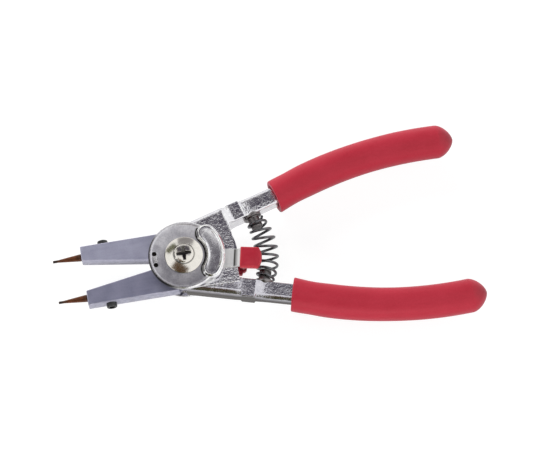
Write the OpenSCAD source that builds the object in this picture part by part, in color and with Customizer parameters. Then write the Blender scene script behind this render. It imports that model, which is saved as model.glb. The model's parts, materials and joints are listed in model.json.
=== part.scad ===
// Convertible retaining-ring pliers with replaceable straight tips, standing open in the
// setting for internal rings. Z is up and X runs along the pliers towards the handles.
// The origin is on the pivot axis, in the plane of the flange that the pliers rest on.

/* [Jaws] */
// Distance from the pivot axis to the end face of a jaw
jaw_reach = 46.5; // [43:0.5:54]
// Thickness of a jaw blade
jaw_thick = 6.6; // [6.2:0.1:7.2]
// Distance of a jaw's straight outer edge from the middle line
jaw_outer = 14.3; // [13.8:0.1:16]
// Angle from the middle line to a jaw's inner face, handles open
jaw_open = 9; // [8:0.5:9.5]
// Distance behind the pivot axis at which the outer edge steps in to the hub
jaw_step = 4.6; // [4:0.1:11]
/* [Tips] */
// Diameter of a tip's shank
tip_d = 3.3; // [2.4:0.1:3.6]
// Distance of a tip's axis from the middle line
tip_off = 10; // [9.8:0.1:10.8]
// Length of the taper outside the jaw
tip_taper = 10.8; // [8:0.2:14]
// Diameter of the nib that enters the hole of a ring
nib_d = 1.2; // [0.9:0.1:1.6]
// Length of the nib
nib_len = 2.4; // [1.5:0.1:3.5]
// Depth of the shank in the jaw
tip_seat = 14; // [13:0.5:18]
/* [Set screws] */
// Diameter of a set screw
set_d = 4.8; // [4:0.1:5]
// Distance from a jaw's end face to the set screw's axis
set_back = 10.5; // [8:0.5:10.5]
// Height of a set screw above the jaw's edge
set_proud = 2; // [1:0.1:3]
// Width across the flats of the hexagon socket
socket_af = 2.4; // [2:0.1:3]
/* [Handles] */
// Thickness of the sheet that the channels are pressed from
sheet = 1.4; // [1.2:0.1:1.6]
// Angle from the middle line to a neck, handles open
handle_open = 16.2; // [14:0.1:16.5]
// Distance of a handle's straight outer edge from the pivot axis
edge_off = 15.2; // [15:0.1:16]
// Width of a neck
neck_w = 8.9; // [8.2:0.1:9.2]
// Depth of a neck over both side plates
neck_deep = 6.8; // [6:0.1:7.6]
// Depth over the flat panel between the two bends
panel_deep = 8.8; // [8:0.1:9.2]
// Distance along a neck from the pivot to the first bend
bend_start = 25.2; // [25:0.1:26]
// Length of the first bend
bend_one = 3.2; // [2.5:0.1:4]
// Length of the flat panel
panel_len = 5.4; // [4.5:0.1:6]
// Length of the second bend
bend_two = 2.4; // [1.8:0.1:3]
// Distance along a neck from the pivot to the mouth of the grip
neck_len = 50.9; // [49:0.1:56]
// Distance along a neck at which the web of the channel begins
web_start = 3; // [2:0.5:6]
// Radius of the throat that the switch post swings through
throat_r = 24.6; // [24:0.1:24.8]
// Distance of the outer ear's straight edge inside the throat
ear_gap = 1.3; // [1.2:0.1:2.2]
// Drop of the outer ear's tail below the middle line
ear_drop = 16; // [15.4:0.1:17]
/* [Grips] */
// Outside diameter of a grip
grip_d = 15.6; // [14.2:0.1:16.5]
// Radius of a grip's curved centre line
grip_curve = 185; // [165:5:220]
// Turn of the centre line from mouth to end
grip_turn = 25.4; // [22:0.2:28]
// Turn from the neck to the grip at the mouth
grip_kick = 6.8; // [5:0.1:9]
// Offset of a grip's centre from the neck's centre at the mouth
grip_shift = -0.3; // [-0.5:0.1:1.2]
// Width of the steel tang in a grip
tang_w = 7.6; // [6:0.1:8.4]
// Length of the neck that runs on inside a grip
tang_lap = 4; // [3:0.5:5]
// Thickness of the grip beyond the end of the tang
grip_end = 5; // [3:0.5:8]
/* [Pivot] */
// Diameter of the pivot post
post_d = 8; // [7:0.1:9]
// Diameter of the post's rest flange
flange_d = 15; // [13:0.5:16]
// Thickness of the rest flange
flange_t = 1; // [0.8:0.1:1.6]
// Diameter of the pivot screw's thread
screw_d = 4.8; // [4:0.1:5.2]
// Diameter of the pivot screw's head
head_d = 9.2; // [8.2:0.1:10.4]
// Height of the pivot screw's head
head_h = 1.4; // [1.1:0.1:2]
// Length of the pivot screw's thread in the post
screw_len = 12; // [9:0.5:14]
// Diameter of the domed washer
dome_d = 17.6; // [15:0.1:18]
// Height of the domed washer at its crown
dome_h = 2.3; // [1.8:0.1:2.8]
// Height of the domed washer at its rim
dome_rim = 0.5; // [0.3:0.1:0.8]
/* [Covers] */
// Radius of the front cover's round part
cover_r = 16.3; // [15.8:0.1:17]
// Radius of the rear cover's round part
rear_cover_r = 12.6; // [11:0.1:16]
// Thickness of a cover's sheet
cover_t = 1; // [0.8:0.1:1.2]
// Width of the kidney-shaped emboss
kidney_w = 8.9; // [8.4:0.1:9.2]
// Distance of the emboss's centre line from the pivot axis
kidney_orbit = 14.35; // [14:0.05:14.6]
// Angle from the middle of the emboss to the centre of its round end
kidney_span = 37; // [34:0.5:40]
// Height of the front emboss
kidney_h = 1.5; // [1.4:0.1:2]
// Height of the rear emboss
kidney_rear_h = 0.6; // [0.4:0.1:0.7]
// Width of the sunk floor of the emboss
floor_w = 5; // [4:0.1:6]
// Depth of the sunk floor
floor_deep = 0.45; // [0.2:0.05:0.6]
// Distance of the locating tab from the pivot axis
tab_off = 13.3; // [12.6:0.1:13.8]
// Radius of the relief holes beside the tab
relief_r = 1; // [0.7:0.1:1.2]
/* [Lock pins] */
// Diameter of a lock pin
pin_d = 3; // [2.6:0.1:3.2]
// Distance of a lock pin from the pivot axis
pin_orbit = 13.5; // [13.2:0.1:13.8]
// Angle of a lock pin from the middle line
pin_angle = 26; // [25:0.5:28]
// Diameter of a lock pin's head
pin_head_d = 4.4; // [4:0.1:5]
// Height of a lock pin's head
pin_head_h = 0.9; // [0.6:0.1:1.1]
/* [Switch] */
// Thickness of a switch lever
lever_t = 1; // [0.8:0.1:1.2]
// Angle of the switch below the middle line
lever_set = 12; // [10:0.5:12]
// Width of the front lever's tongue
tongue_w = 8.6; // [7:0.1:8.8]
// Length of the tongue between its bend and the thumb cap
tongue_run = 2.7; // [2.6:0.1:3.6]
// Rise of the tongue
tongue_rise = 1.3; // [1.2:0.1:1.8]
// Gap between the throat and the post that joins the levers
post_gap = 1; // [0.8:0.1:2.4]
// Length of the thumb cap
cap_len = 10; // [9:0.1:10.6]
// Width of the thumb cap
cap_w = 9.9; // [9.7:0.1:11]
// Wall of the thumb cap over and under the tongue
cap_wall = 1.05; // [0.8:0.05:1.15]
// Radius of the thumb cap's round end
cap_round = 8; // [6.5:0.5:12]
// Diameter of the post that joins the two levers
link_d = 2.4; // [2:0.1:3.2]
// Width of the rear lever's tongue
rear_tongue_w = 5; // [4.4:0.1:6]
// Width of the rear tongue's end inside the rear cap
rear_tang_w = 2.4; // [1.8:0.1:3]
// Width of the rear cap
rear_cap_w = 6.4; // [5.4:0.1:8]
// Length of the rear cap
rear_cap_len = 4.6; // [4:0.1:6]
// Thickness of the rear cap under the rear lever
rear_cap_t = 1.4; // [1:0.1:1.6]
/* [Return spring] */
// Distance of the spring's centre line from the pivot axis
coil_r = 38; // [37:0.1:40]
// Diameter of the spring wire
wire_d = 1.25; // [0.8:0.05:1.3]
// Outside diameter of an end coil
coil_end_d = 9; // [8.6:0.1:9.6]
// Outside diameter of the middle coils
coil_mid_d = 11.2; // [9.6:0.1:11.6]
// Number of turns
coil_turns = 8; // [6:1:9]
// Diameter of the peg in the spring's end
peg_d = 5.6; // [4.6:0.1:5.8]
// Length of the peg
peg_len = 5; // [3:0.5:6]
// Diameter of the seat's flange
seat_d = 8.6; // [8:0.1:9.6]
// Thickness of the seat's flange
seat_t = 1; // [0.8:0.1:1.5]
// Length of the seat block along the neck
seat_len = 8.2; // [7:0.1:9]
/* [Fits] */
// Gap between stacked plates at the pivot
slip = 0.1; // [0.05:0.01:0.15]
// Radial clearance on the pivot post
run = 0.05; // [0.02:0.01:0.1]
// Radial clearance of a lock pin in its hole
pin_fit = 0.1; // [0.05:0.01:0.15]
// Clearance round pieces that are pressed or screwed in
seat_fit = 0.03; // [0.01:0.01:0.05]
// Gap left between pieces that swing past each other
swing = 0.5; // [0.3:0.1:0.6]
// Angle left between the jaws' inner faces at the closed stop
stop_angle = 0.4; // [0.2:0.1:1]

/* [Hidden] */
$fn = 72;

// Heights above the middle plane of the stack at the pivot
lap = jaw_thick / 2;
inner_ear = lap + slip + sheet;
outer_ear = inner_ear + slip + sheet;
lever_low = outer_ear + slip;
lever_top = lever_low + lever_t;
cover_low = lever_top + slip;
cover_top = cover_low + cover_t;
dome_flat = cover_top + 0.8 * dome_h;
// Height of the middle plane above the rest flange
mid = cover_top + flange_t;

// Plan sizes that follow from the ones above
far = 200;
squeeze = jaw_open - stop_angle;
neck_in = edge_off - neck_w;
web_in = edge_off - sheet;
hub_r = web_in - 1.6 * swing;
inner_hub = web_in - swing;
panel_start = bend_start + bend_one;
neck_start = panel_start + panel_len + bend_two;
neck_gap = neck_deep - 2 * sheet;
pin_sweep = asin((pin_d / 2 + swing) / pin_orbit);
lobe_r = pin_d / 2 + sheet;
window_w = pin_d + 2.4 * swing;
window_span = pin_angle + lever_set;
lever_w = window_w + 4 * lever_t;
tip_start = jaw_reach - tip_seat;
set_x = jaw_reach - set_back;
ear_edge = throat_r - ear_gap;
cap_start = throat_r + post_gap;
tongue_bend = cap_start - tongue_run;
cap_end = cap_start + cap_len;
cap_low = lever_low + tongue_rise - cap_wall;
cap_top = lever_top + tongue_rise + cap_wall;
tongue_end = cap_end - 2.4 * cap_wall;
tongue_top = tongue_bend + 2 * tongue_rise;
link_x = cap_start + link_d / 2;
rear_cap_start = link_x - rear_cap_len;
seat_s = sqrt(coil_r * coil_r - neck_in * neck_in);
spring_half = handle_open + asin((neck_in - seat_t - wire_d) / coil_r);
grip_mouth = [neck_len, edge_off - neck_w / 2 + grip_shift];
grip_centre = grip_mouth + grip_curve * [sin(grip_kick), -cos(grip_kick)];
grip_first = 90 + grip_kick - grip_turn;

steel = [0.72, 0.72, 0.74];
nickel = [0.82, 0.82, 0.80];
jaw_grey = [0.55, 0.55, 0.62];
grip_red = [0.78, 0.20, 0.26];
copper = [0.62, 0.40, 0.24];
black = [0.12, 0.12, 0.13];

// Plan shapes

// Pie slice from angle a0 to a1 that reaches past radius r
module wedge(r, a0, a1) {
    step = (a1 - a0) / 4;
    polygon(concat([[0, 0]], [for (i = [0:4]) 2 * r * [cos(a0 + i * step), sin(a0 + i * step)]]));
}

// Ring between two radii, cut to a pie slice
module ring_slice(r0, r1, a0, a1) {
    intersection() {
        difference() {
            circle(r1, $fn = 180);
            circle(r0, $fn = 180);
        }
        wedge(r1, a0, a1);
    }
}

// Curved slot of width w with round ends on radius r
module arc_band(r, w, a0, a1) {
    ring_slice(r - w / 2, r + w / 2, a0, a1);
    for (a = [a0, a1]) rotate(a) translate([r, 0]) circle(d = 1.01 * w);
}

// Strip between two distances along and two distances across a direction
module strip(s0, s1, t0, t1) {
    translate([s0, t0]) square([s1 - s0, t1 - t0]);
}

// Carries a shape from the middle plane of the stack to its height above the rest plane
module stack() {
    translate([0, 0, mid]) children();
}

// Turns an upper piece into its lower twin
module twin() {
    rotate([180, 0, 0]) children();
}

// Turns a shape from the middle line to the neck of the upper handle
module neck_frame() {
    rotate([0, 0, handle_open]) children();
}

// Extrudes a profile drawn as distance along and height, across the direction of distance
module across(width) {
    rotate([90, 0, 0]) linear_extrude(width, center = true) children();
}

// Jaws

// Hub plate of a jaw, with the lug for its own lock pin and a recess for the other pin
module jaw_hub() {
    difference() {
        union() {
            difference() {
                circle(hub_r);
                difference() {
                    wedge(hub_r, pin_angle - 2 * squeeze - pin_sweep, pin_angle + pin_sweep);
                    circle(pin_orbit - pin_d / 2 - swing);
                }
            }
            rotate(-pin_angle) strip(post_d / 2, pin_orbit, -lobe_r, lobe_r);
            rotate(-pin_angle) translate([pin_orbit, 0]) circle(lobe_r);
        }
        rotate(-pin_angle) translate([pin_orbit, 0]) circle(pin_d / 2 + pin_fit);
    }
}

// Blade of the upper jaw, with its inner face on a line through the pivot
module jaw_blade() {
    inner_end = jaw_reach * tan(jaw_open);
    polygon([[-jaw_reach, inner_end], [-jaw_reach, jaw_outer], [-jaw_step, jaw_outer],
        [-jaw_step, 0.5 * hub_r], [-jaw_step, jaw_step * tan(jaw_open)]]);
}

module jaw_shape() {
    color(jaw_grey) difference() {
        union() {
            difference() {
                linear_extrude(jaw_thick, center = true) jaw_blade();
                translate([0, 0, -jaw_thick]) cylinder(r = hub_r + swing, h = jaw_thick + slip / 2);
            }
            translate([0, 0, slip / 2]) linear_extrude(lap - slip / 2) jaw_hub();
        }
        cylinder(d = post_d + 2 * run, h = 4 * lap, center = true);
        translate([-jaw_reach - 1, tip_off, 0]) rotate([0, 90, 0])
            cylinder(d = tip_d + 2 * seat_fit, h = tip_seat + 1);
        translate([-set_x, tip_off, 0]) rotate([-90, 0, 0]) cylinder(d = set_d + 2 * seat_fit, h = jaw_outer);
    }
}

// Shank, taper and nib on one axis
module tip_shape() {
    color(copper) translate([-tip_start - seat_fit, tip_off, 0]) rotate([0, -90, 0]) {
        cylinder(d = tip_d, h = tip_seat);
        translate([0, 0, tip_seat]) cylinder(d1 = tip_d, d2 = nib_d, h = tip_taper);
        translate([0, 0, tip_seat + tip_taper]) cylinder(d = nib_d, h = nib_len);
    }
}

// Socket set screw that bears on the tip's shank
module set_screw_shape() {
    bottom = tip_off + tip_d / 2;
    length = jaw_outer + set_proud - bottom;
    color(black) translate([-set_x, bottom, 0]) rotate([-90, 0, 0]) difference() {
        cylinder(d = set_d, h = length);
        translate([0, 0, length / 2]) cylinder(d = socket_af / cos(30), h = length, $fn = 6);
    }
}

// Handles

// Top line of a side plate: ear, first bend, panel, second bend and neck
function plate_line(ear) = [
    [-far, ear], [bend_start, ear], [panel_start, panel_deep / 2],
    [panel_start + panel_len, panel_deep / 2], [neck_start, neck_deep / 2], [far, neck_deep / 2]
];
function dropped(line, d) = [for (i = [len(line) - 1:-1:0]) line[i] - [0, d]];
function mirrored(line) = [for (i = [len(line) - 1:-1:0]) [line[i][0], -line[i][1]]];

// Ear of the upper handle, which lies outside the lower handle's ear
module outer_ear_plan() {
    circle(edge_off + slip);
    polygon([[0, -edge_off], [ear_edge, -ear_drop], [ear_edge, ear_edge * tan(handle_open) + 0.8 * neck_w],
        [0, 0.8 * neck_w]]);
}

// Ear of the lower handle in its mirrored place, which swings inside the upper handle's web
module inner_ear_plan() {
    circle(inner_hub);
    intersection() {
        circle(throat_r);
        wedge(throat_r, -70, 90);
        rotate(handle_open) strip(-far, far, -far, edge_off);
        rotate(2 * squeeze - handle_open) strip(-far, far, -inner_hub, far);
    }
}

// Front side plate: the plan of its ear and neck, bent along the plate line
module side_plate(ear) {
    intersection() {
        linear_extrude(2 * ear) {
            children();
            rotate(handle_open) strip(0, neck_len + tang_lap, neck_in, edge_off);
        }
        neck_frame() across(far) polygon(concat(plate_line(ear), dropped(plate_line(ear), sheet)));
    }
}

// Outer web that joins the two side plates, and the inner web of the neck with a gap for the spring seat
module web(ear) {
    neck_frame() intersection() {
        linear_extrude(4 * ear, center = true) {
            strip(web_start, neck_len + tang_lap, web_in, edge_off);
            difference() {
                strip(panel_start, neck_len + tang_lap, neck_in, neck_in + sheet);
                strip(seat_s - seat_len / 2 - seat_fit, seat_s + seat_len / 2 + seat_fit, 0, far);
            }
        }
        across(far) polygon(concat(plate_line(ear), mirrored(plate_line(ear))));
    }
}

// Outside of the tang in the grip, grown by a clearance
module tang_block(grow) {
    last = asin((grip_end - grip_d / 2) / grip_curve);
    translate(grip_centre) linear_extrude(neck_deep + 2 * grow, center = true)
        ring_slice(grip_curve - tang_w / 2 - grow, grip_curve + tang_w / 2 + grow,
            grip_first + last, grip_first + grip_turn - 0.3);
}

// Channel section of the tang
module tang() {
    neck_frame() difference() {
        tang_block(0);
        translate(grip_centre) linear_extrude(neck_gap, center = true)
            ring_slice(grip_curve - tang_w, grip_curve + tang_w / 2 - sheet, 0, 180);
    }
}

// Pressed channel handle in the upper place; the children are the plan of its ears
module handle_shape(ear) {
    color(nickel) difference() {
        union() {
            for (side = [0, 1]) mirror([0, 0, side]) side_plate(ear) children();
            web(ear);
            tang();
        }
        cylinder(d = post_d + 2 * run, h = 4 * ear, center = true);
        rotate(pin_angle) translate([pin_orbit, 0, 0])
            cylinder(d = pin_d + 2 * seat_fit, h = 4 * ear, center = true);
        linear_extrude(4 * ear, center = true)
            arc_band(pin_orbit, pin_d + 2 * swing, -pin_angle, 2 * squeeze - pin_angle);
    }
}

// Sleeve round the tang with a rounded end
module grip_shape() {
    color(grip_red) neck_frame() difference() {
        translate(grip_centre) rotate([0, 0, grip_first]) {
            rotate_extrude(angle = grip_turn) translate([grip_curve, 0]) circle(d = grip_d);
            translate([grip_curve, 0, 0]) sphere(d = grip_d);
        }
        tang_block(seat_fit);
        linear_extrude(neck_deep + 2 * seat_fit, center = true)
            strip(neck_len - tang_lap, neck_len + tang_lap + seat_fit,
                neck_in - seat_fit, edge_off + seat_fit);
    }
}

// Pin through the ears, with its head under the emboss of the front cover
module lock_pin_shape() {
    color(steel) rotate(pin_angle) translate([pin_orbit, 0, 0]) {
        translate([0, 0, -lever_top]) cylinder(d = pin_d, h = 2 * lever_top + slip);
        translate([0, 0, cover_low]) cylinder(d = pin_head_d, h = pin_head_h);
    }
}

// Block in the channel of the neck, with a flange and a peg for the spring
module spring_seat_shape() {
    color(steel) neck_frame() translate([seat_s, neck_in, 0]) {
        translate([-seat_len / 2, 0, -neck_gap / 2]) cube([seat_len, neck_w / 2, neck_gap]);
        rotate([90, 0, 0]) cylinder(d = seat_d, h = seat_t);
        rotate([90, 0, 0]) cylinder(d = peg_d, h = seat_t + peg_len);
    }
}

// Spring wound along an arc round the pivot, with closer turns at its ends

coil_steps = 16;
wire_sides = 6;
function coil_angle(u) = spring_half * (0.72 * (2 * u - 1) - 0.28 * cos(180 * u));
function coil_radius(u) = (coil_end_d + (coil_mid_d - coil_end_d) * sin(180 * u) - wire_d) / 2;
function coil_out(u) = [cos(coil_angle(u)), sin(coil_angle(u)), 0];
function coil_point(u) =
    let (turn = 360 * coil_turns * u)
    coil_out(u) * (coil_r + coil_radius(u) * cos(turn)) + [0, 0, coil_radius(u) * sin(turn)];
function unit(v) = v / norm(v);
function wire_ring(u) =
    let (along = unit(coil_point(u + 0.0005) - coil_point(u - 0.0005)))
    let (side = unit(cross(along, coil_point(u) - coil_r * coil_out(u))))
    let (outward = cross(side, along))
    [for (k = [0:wire_sides - 1]) let (a = 360 * k / wire_sides)
        coil_point(u) + wire_d / 2 * (outward * cos(a) + side * sin(a))];

module spring_shape() {
    rings = coil_turns * coil_steps;
    points = [for (i = [0:rings]) each wire_ring(i / rings)];
    walls = [for (i = [0:rings - 1], k = [0:wire_sides - 1])
        let (n = (k + 1) % wire_sides)
        [i * wire_sides + k, i * wire_sides + n, (i + 1) * wire_sides + n, (i + 1) * wire_sides + k]];
    first = [for (k = [wire_sides - 1:-1:0]) k];
    last = [for (k = [0:wire_sides - 1]) rings * wire_sides + k];
    color(steel) polyhedron(points, concat(walls, [first, last]), convexity = 10);
}

// Switch

// Ring and window frame of a lever
module lever_plan() {
    difference() {
        union() {
            circle(pin_orbit - window_w / 2);
            arc_band(pin_orbit, lever_w, -window_span, window_span);
        }
        arc_band(pin_orbit, window_w, -window_span, window_span);
        circle(d = post_d + 4 * run);
    }
}

// Outline of the rising tongue along the lever, grown by a clearance
module tongue_profile(grow) {
    root = pin_orbit + window_w / 2 + lever_t;
    polygon([[root, lever_low - grow], [tongue_bend, lever_low - grow],
        [tongue_top, lever_low + tongue_rise - grow], [tongue_end + grow, lever_low + tongue_rise - grow],
        [tongue_end + grow, lever_top + tongue_rise + grow], [tongue_top, lever_top + tongue_rise + grow],
        [tongue_bend, lever_top + grow], [root, lever_top + grow]]);
}

module front_lever_shape() {
    color(nickel) rotate(-lever_set) {
        translate([0, 0, lever_low]) linear_extrude(lever_t) lever_plan();
        across(tongue_w) tongue_profile(0);
    }
}

module rear_lever_shape() {
    root = pin_orbit + window_w / 2 + lever_t;
    color(nickel) rotate(-lever_set) translate([0, 0, -lever_top]) linear_extrude(lever_t) {
        lever_plan();
        strip(root, rear_cap_start - slip, -rear_tongue_w / 2, rear_tongue_w / 2);
        rear_tang_plan(0);
    }
}

// Plan of the rear tongue's end in the rear cap, grown by a clearance
module rear_tang_plan(grow) {
    strip(rear_cap_start - 1, cap_start - swing + grow, -rear_tang_w / 2 - grow, rear_tang_w / 2 + grow);
}

// Thumb cap moulded round the tongue, with the post that reaches the rear cap
module switch_cap_shape() {
    color(grip_red) rotate(-lever_set) {
        difference() {
            translate([0, 0, cap_low]) linear_extrude(cap_top - cap_low) intersection() {
                strip(cap_start, cap_end, -cap_w / 2, cap_w / 2);
                translate([cap_end - cap_round, 0]) circle(cap_round);
            }
            across(tongue_w + 2 * seat_fit) tongue_profile(seat_fit);
        }
        translate([link_x, 0, -lever_top]) cylinder(d = link_d, h = lever_top + cap_low);
    }
}

// Small cap moulded round the rear tongue's end, with a socket for the post
module rear_cap_shape() {
    color(grip_red) rotate(-lever_set) translate([0, 0, -lever_top - rear_cap_t]) difference() {
        linear_extrude(rear_cap_t + lever_t) {
            strip(rear_cap_start, link_x, -rear_cap_w / 2, rear_cap_w / 2);
            translate([link_x, 0]) circle(d = link_d + 2.4 * swing);
        }
        translate([0, 0, rear_cap_t]) linear_extrude(2 * lever_t) {
            rear_tang_plan(seat_fit);
            translate([link_x, 0]) circle(d = link_d + 2 * seat_fit);
        }
    }
}

// Pivot and covers

// Stamped cover with a kidney-shaped emboss over the pin heads and a locating tab
module cover_shape(disc, emboss, sunk, tabbed) {
    pocket = kidney_w - 2 * cover_t;
    color(nickel) difference() {
        union() {
            translate([0, 0, cover_low]) linear_extrude(cover_t) circle(disc);
            translate([0, 0, cover_low]) linear_extrude(cover_t + emboss)
                arc_band(kidney_orbit, kidney_w, -kidney_span, kidney_span);
            if (tabbed) translate([-tab_off - relief_r, -1.6 * relief_r, lever_low + slip])
                cube([2 * relief_r, 3.2 * relief_r, lever_t + slip]);
        }
        translate([0, 0, cover_low - 1]) linear_extrude(1 + emboss)
            arc_band(kidney_orbit, pocket, -kidney_span, kidney_span);
        translate([0, 0, cover_top + emboss - sunk]) linear_extrude(1 + sunk)
            arc_band(kidney_orbit, floor_w, -kidney_span, kidney_span);
        if (tabbed) for (side = [-1, 1]) translate([-tab_off, side * 2.7 * relief_r, cover_low - 1])
            cylinder(r = relief_r, h = cover_t + 2);
        cylinder(d = post_d + 2 * run, h = 4 * cover_top, center = true);
    }
}

// Post with the rest flange at its rear end and a blind thread from the front
module pivot_post_shape() {
    color(nickel) difference() {
        union() {
            translate([0, 0, -cover_top]) cylinder(d = post_d, h = 2 * cover_top);
            translate([0, 0, -mid]) cylinder(d = flange_d, h = flange_t);
        }
        translate([0, 0, cover_top - screw_len]) cylinder(d = screw_d + 2 * seat_fit, h = screw_len + 1);
    }
}

// Washer cut from a ball, with a flat for the screw head
module dome_washer_shape() {
    rise = dome_h - dome_rim;
    ball = (dome_d * dome_d / 4 + rise * rise) / (2 * rise);
    color(nickel) difference() {
        intersection() {
            translate([0, 0, cover_top]) cylinder(d = dome_d, h = dome_flat - cover_top);
            translate([0, 0, cover_top + dome_h - ball]) sphere(ball);
        }
        translate([0, 0, cover_top - 1]) cylinder(d = screw_d + 4 * seat_fit, h = dome_h + 2);
    }
}

// Screw with a crossed slot in its head
module pivot_screw_shape() {
    slot_w = head_d / 7;
    slot_deep = 0.6 * head_h;
    color(nickel) difference() {
        union() {
            translate([0, 0, dome_flat]) cylinder(d1 = head_d, d2 = 0.8 * head_d, h = head_h);
            translate([0, 0, cover_top - screw_len + 1])
                cylinder(d = screw_d, h = dome_flat - cover_top + screw_len - 1);
        }
        for (a = [0, 90]) translate([0, 0, dome_flat + head_h]) rotate(a)
            cube([0.6 * head_d, slot_w, 2 * slot_deep], center = true);
    }
}

// Named pieces in their places

module pivot_post() { stack() pivot_post_shape(); }
module pivot_screw() { stack() pivot_screw_shape(); }
module dome_washer() { stack() dome_washer_shape(); }
module front_cover() { stack() cover_shape(cover_r, kidney_h, floor_deep, true); }
module rear_cover() { stack() twin() cover_shape(rear_cover_r, kidney_rear_h, 0, false); }
module upper_handle() { stack() handle_shape(outer_ear) outer_ear_plan(); }
module upper_grip() { stack() grip_shape(); }
module upper_lock_pin() { stack() lock_pin_shape(); }
module upper_spring_seat() { stack() spring_seat_shape(); }
module lower_handle() { stack() twin() handle_shape(inner_ear) inner_ear_plan(); }
module lower_grip() { stack() twin() grip_shape(); }
module lower_lock_pin() { stack() mirror([0, 1, 0]) lock_pin_shape(); }
module lower_spring_seat() { stack() twin() spring_seat_shape(); }
module return_spring() { stack() spring_shape(); }
module upper_jaw() { stack() jaw_shape(); }
module upper_tip() { stack() tip_shape(); }
module upper_set_screw() { stack() set_screw_shape(); }
module lower_jaw() { stack() twin() jaw_shape(); }
module lower_tip() { stack() twin() tip_shape(); }
module lower_set_screw() { stack() twin() set_screw_shape(); }
module front_switch_lever() { stack() front_lever_shape(); }
module rear_switch_lever() { stack() rear_lever_shape(); }
module switch_cap() { stack() switch_cap_shape(); }
module switch_rear_cap() { stack() rear_cap_shape(); }

pivot_post();
pivot_screw();
dome_washer();
front_cover();
rear_cover();
upper_handle();
upper_grip();
upper_lock_pin();
upper_spring_seat();
lower_handle();
lower_grip();
lower_lock_pin();
lower_spring_seat();
return_spring();
upper_jaw();
upper_tip();
upper_set_screw();
lower_jaw();
lower_tip();
lower_set_screw();
front_switch_lever();
rear_switch_lever();
switch_cap();
switch_rear_cap();
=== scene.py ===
"""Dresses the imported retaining-ring pliers: pressed nickel handles in red sleeves, grey lapped jaws with
copper tips, a stamped pivot cover with a switch, and a bowed return spring.

Arrays are in millimetres in the row frame (X to the handles, Z along the pivot), meshes are in metres.
Shapes are closed loops carried along a path, or heights over a polar grid, worked out as whole arrays.
Sizes are in millimetres and angles in degrees where nothing else is said.
"""

from __future__ import annotations

import json
import logging
import math
from dataclasses import dataclass, replace
from enum import Enum
from typing import Sequence

import bmesh
import bpy
import numpy as np
from mathutils import Matrix, Vector


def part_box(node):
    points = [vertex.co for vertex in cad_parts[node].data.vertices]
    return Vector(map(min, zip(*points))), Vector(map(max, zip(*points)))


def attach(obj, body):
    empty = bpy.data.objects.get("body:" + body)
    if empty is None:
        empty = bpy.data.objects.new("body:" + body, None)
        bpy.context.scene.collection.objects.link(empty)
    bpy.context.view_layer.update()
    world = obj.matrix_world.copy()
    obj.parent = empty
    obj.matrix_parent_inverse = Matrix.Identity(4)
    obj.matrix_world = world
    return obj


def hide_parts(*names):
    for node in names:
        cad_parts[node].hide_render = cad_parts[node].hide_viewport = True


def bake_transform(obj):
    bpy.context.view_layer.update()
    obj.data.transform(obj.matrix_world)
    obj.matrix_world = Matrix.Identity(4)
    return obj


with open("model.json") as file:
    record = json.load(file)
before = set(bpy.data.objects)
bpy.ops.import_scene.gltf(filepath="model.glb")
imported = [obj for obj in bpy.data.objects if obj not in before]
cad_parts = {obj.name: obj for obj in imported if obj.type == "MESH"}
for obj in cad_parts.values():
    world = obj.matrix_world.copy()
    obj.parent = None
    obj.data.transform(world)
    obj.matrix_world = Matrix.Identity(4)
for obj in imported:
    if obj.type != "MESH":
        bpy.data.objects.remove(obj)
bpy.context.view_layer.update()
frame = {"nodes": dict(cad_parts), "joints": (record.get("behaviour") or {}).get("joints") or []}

log = logging.getLogger("pliers")

# Metres in a millimetre
MM = 0.001
# Height of the middle plane over the floor, in millimetres
MID = frame["joints"][0]["pos_m"][2] / MM
# Width of the strip that keeps a flat flat beside a rounding, in millimetres
SUPPORT = 0.03
# Most of an edge that one rounding takes up
EDGE_SHARE = 0.45
# Sizes of a crown's rings, from its edge to the middle
CROWN_RINGS = (0.85, 0.65, 0.4, 0.15, 0.0)
# Distance within which points are merged, in metres
MERGE = 2e-7
# Angle past which an edge is shaded sharp, in degrees
SHARP_ANGLE = 38


class Side(Enum):
    """Which of two mirrored pieces is built: the sign of its Y."""

    UPPER = 1
    LOWER = -1

    @property
    def word(self) -> str:
        """Name used in nodes and bodies."""
        return self.name.lower()


def box_mm(node: str) -> tuple[np.ndarray, np.ndarray]:
    """Lowest and highest corner of a CAD node, in millimetres."""
    low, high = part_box(node)
    return np.array(low) / MM, np.array(high) / MM


def half_depth(node: str) -> float:
    """Half of a CAD node's extent along Z, in millimetres."""
    low, high = box_mm(node)
    return float(high[2] - low[2]) / 2


@dataclass(frozen=True)
class Stack:
    """Heights of the plates at the pivot above the middle plane, in millimetres."""

    jaw: float = half_depth("upper_jaw")
    inner_ear: float = half_depth("lower_handle")
    outer_ear: float = half_depth("upper_handle")
    lever_low: float = float(box_mm("front_switch_lever")[0][2]) - MID
    lever_thick: float = 2 * half_depth("rear_switch_lever")
    slip: float = 0.1
    cover_thick: float = 1.0
    emboss_top: float = float(box_mm("front_cover")[1][2]) - MID
    rear_emboss_top: float = MID - float(box_mm("rear_cover")[0][2])
    screw_top: float = float(box_mm("pivot_screw")[1][2]) - MID
    dome_top: float = float(box_mm("dome_washer")[1][2]) - MID

    @property
    def lever_top(self) -> float:
        """Upper face of the front switch lever."""
        return self.lever_low + self.lever_thick

    @property
    def cover_low(self) -> float:
        """Under face of the front cover."""
        return self.lever_top + self.slip

    @property
    def cover_top(self) -> float:
        """Upper face of the front cover's flat."""
        return self.cover_low + self.cover_thick


STACK = Stack()


# Surfaces


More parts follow.
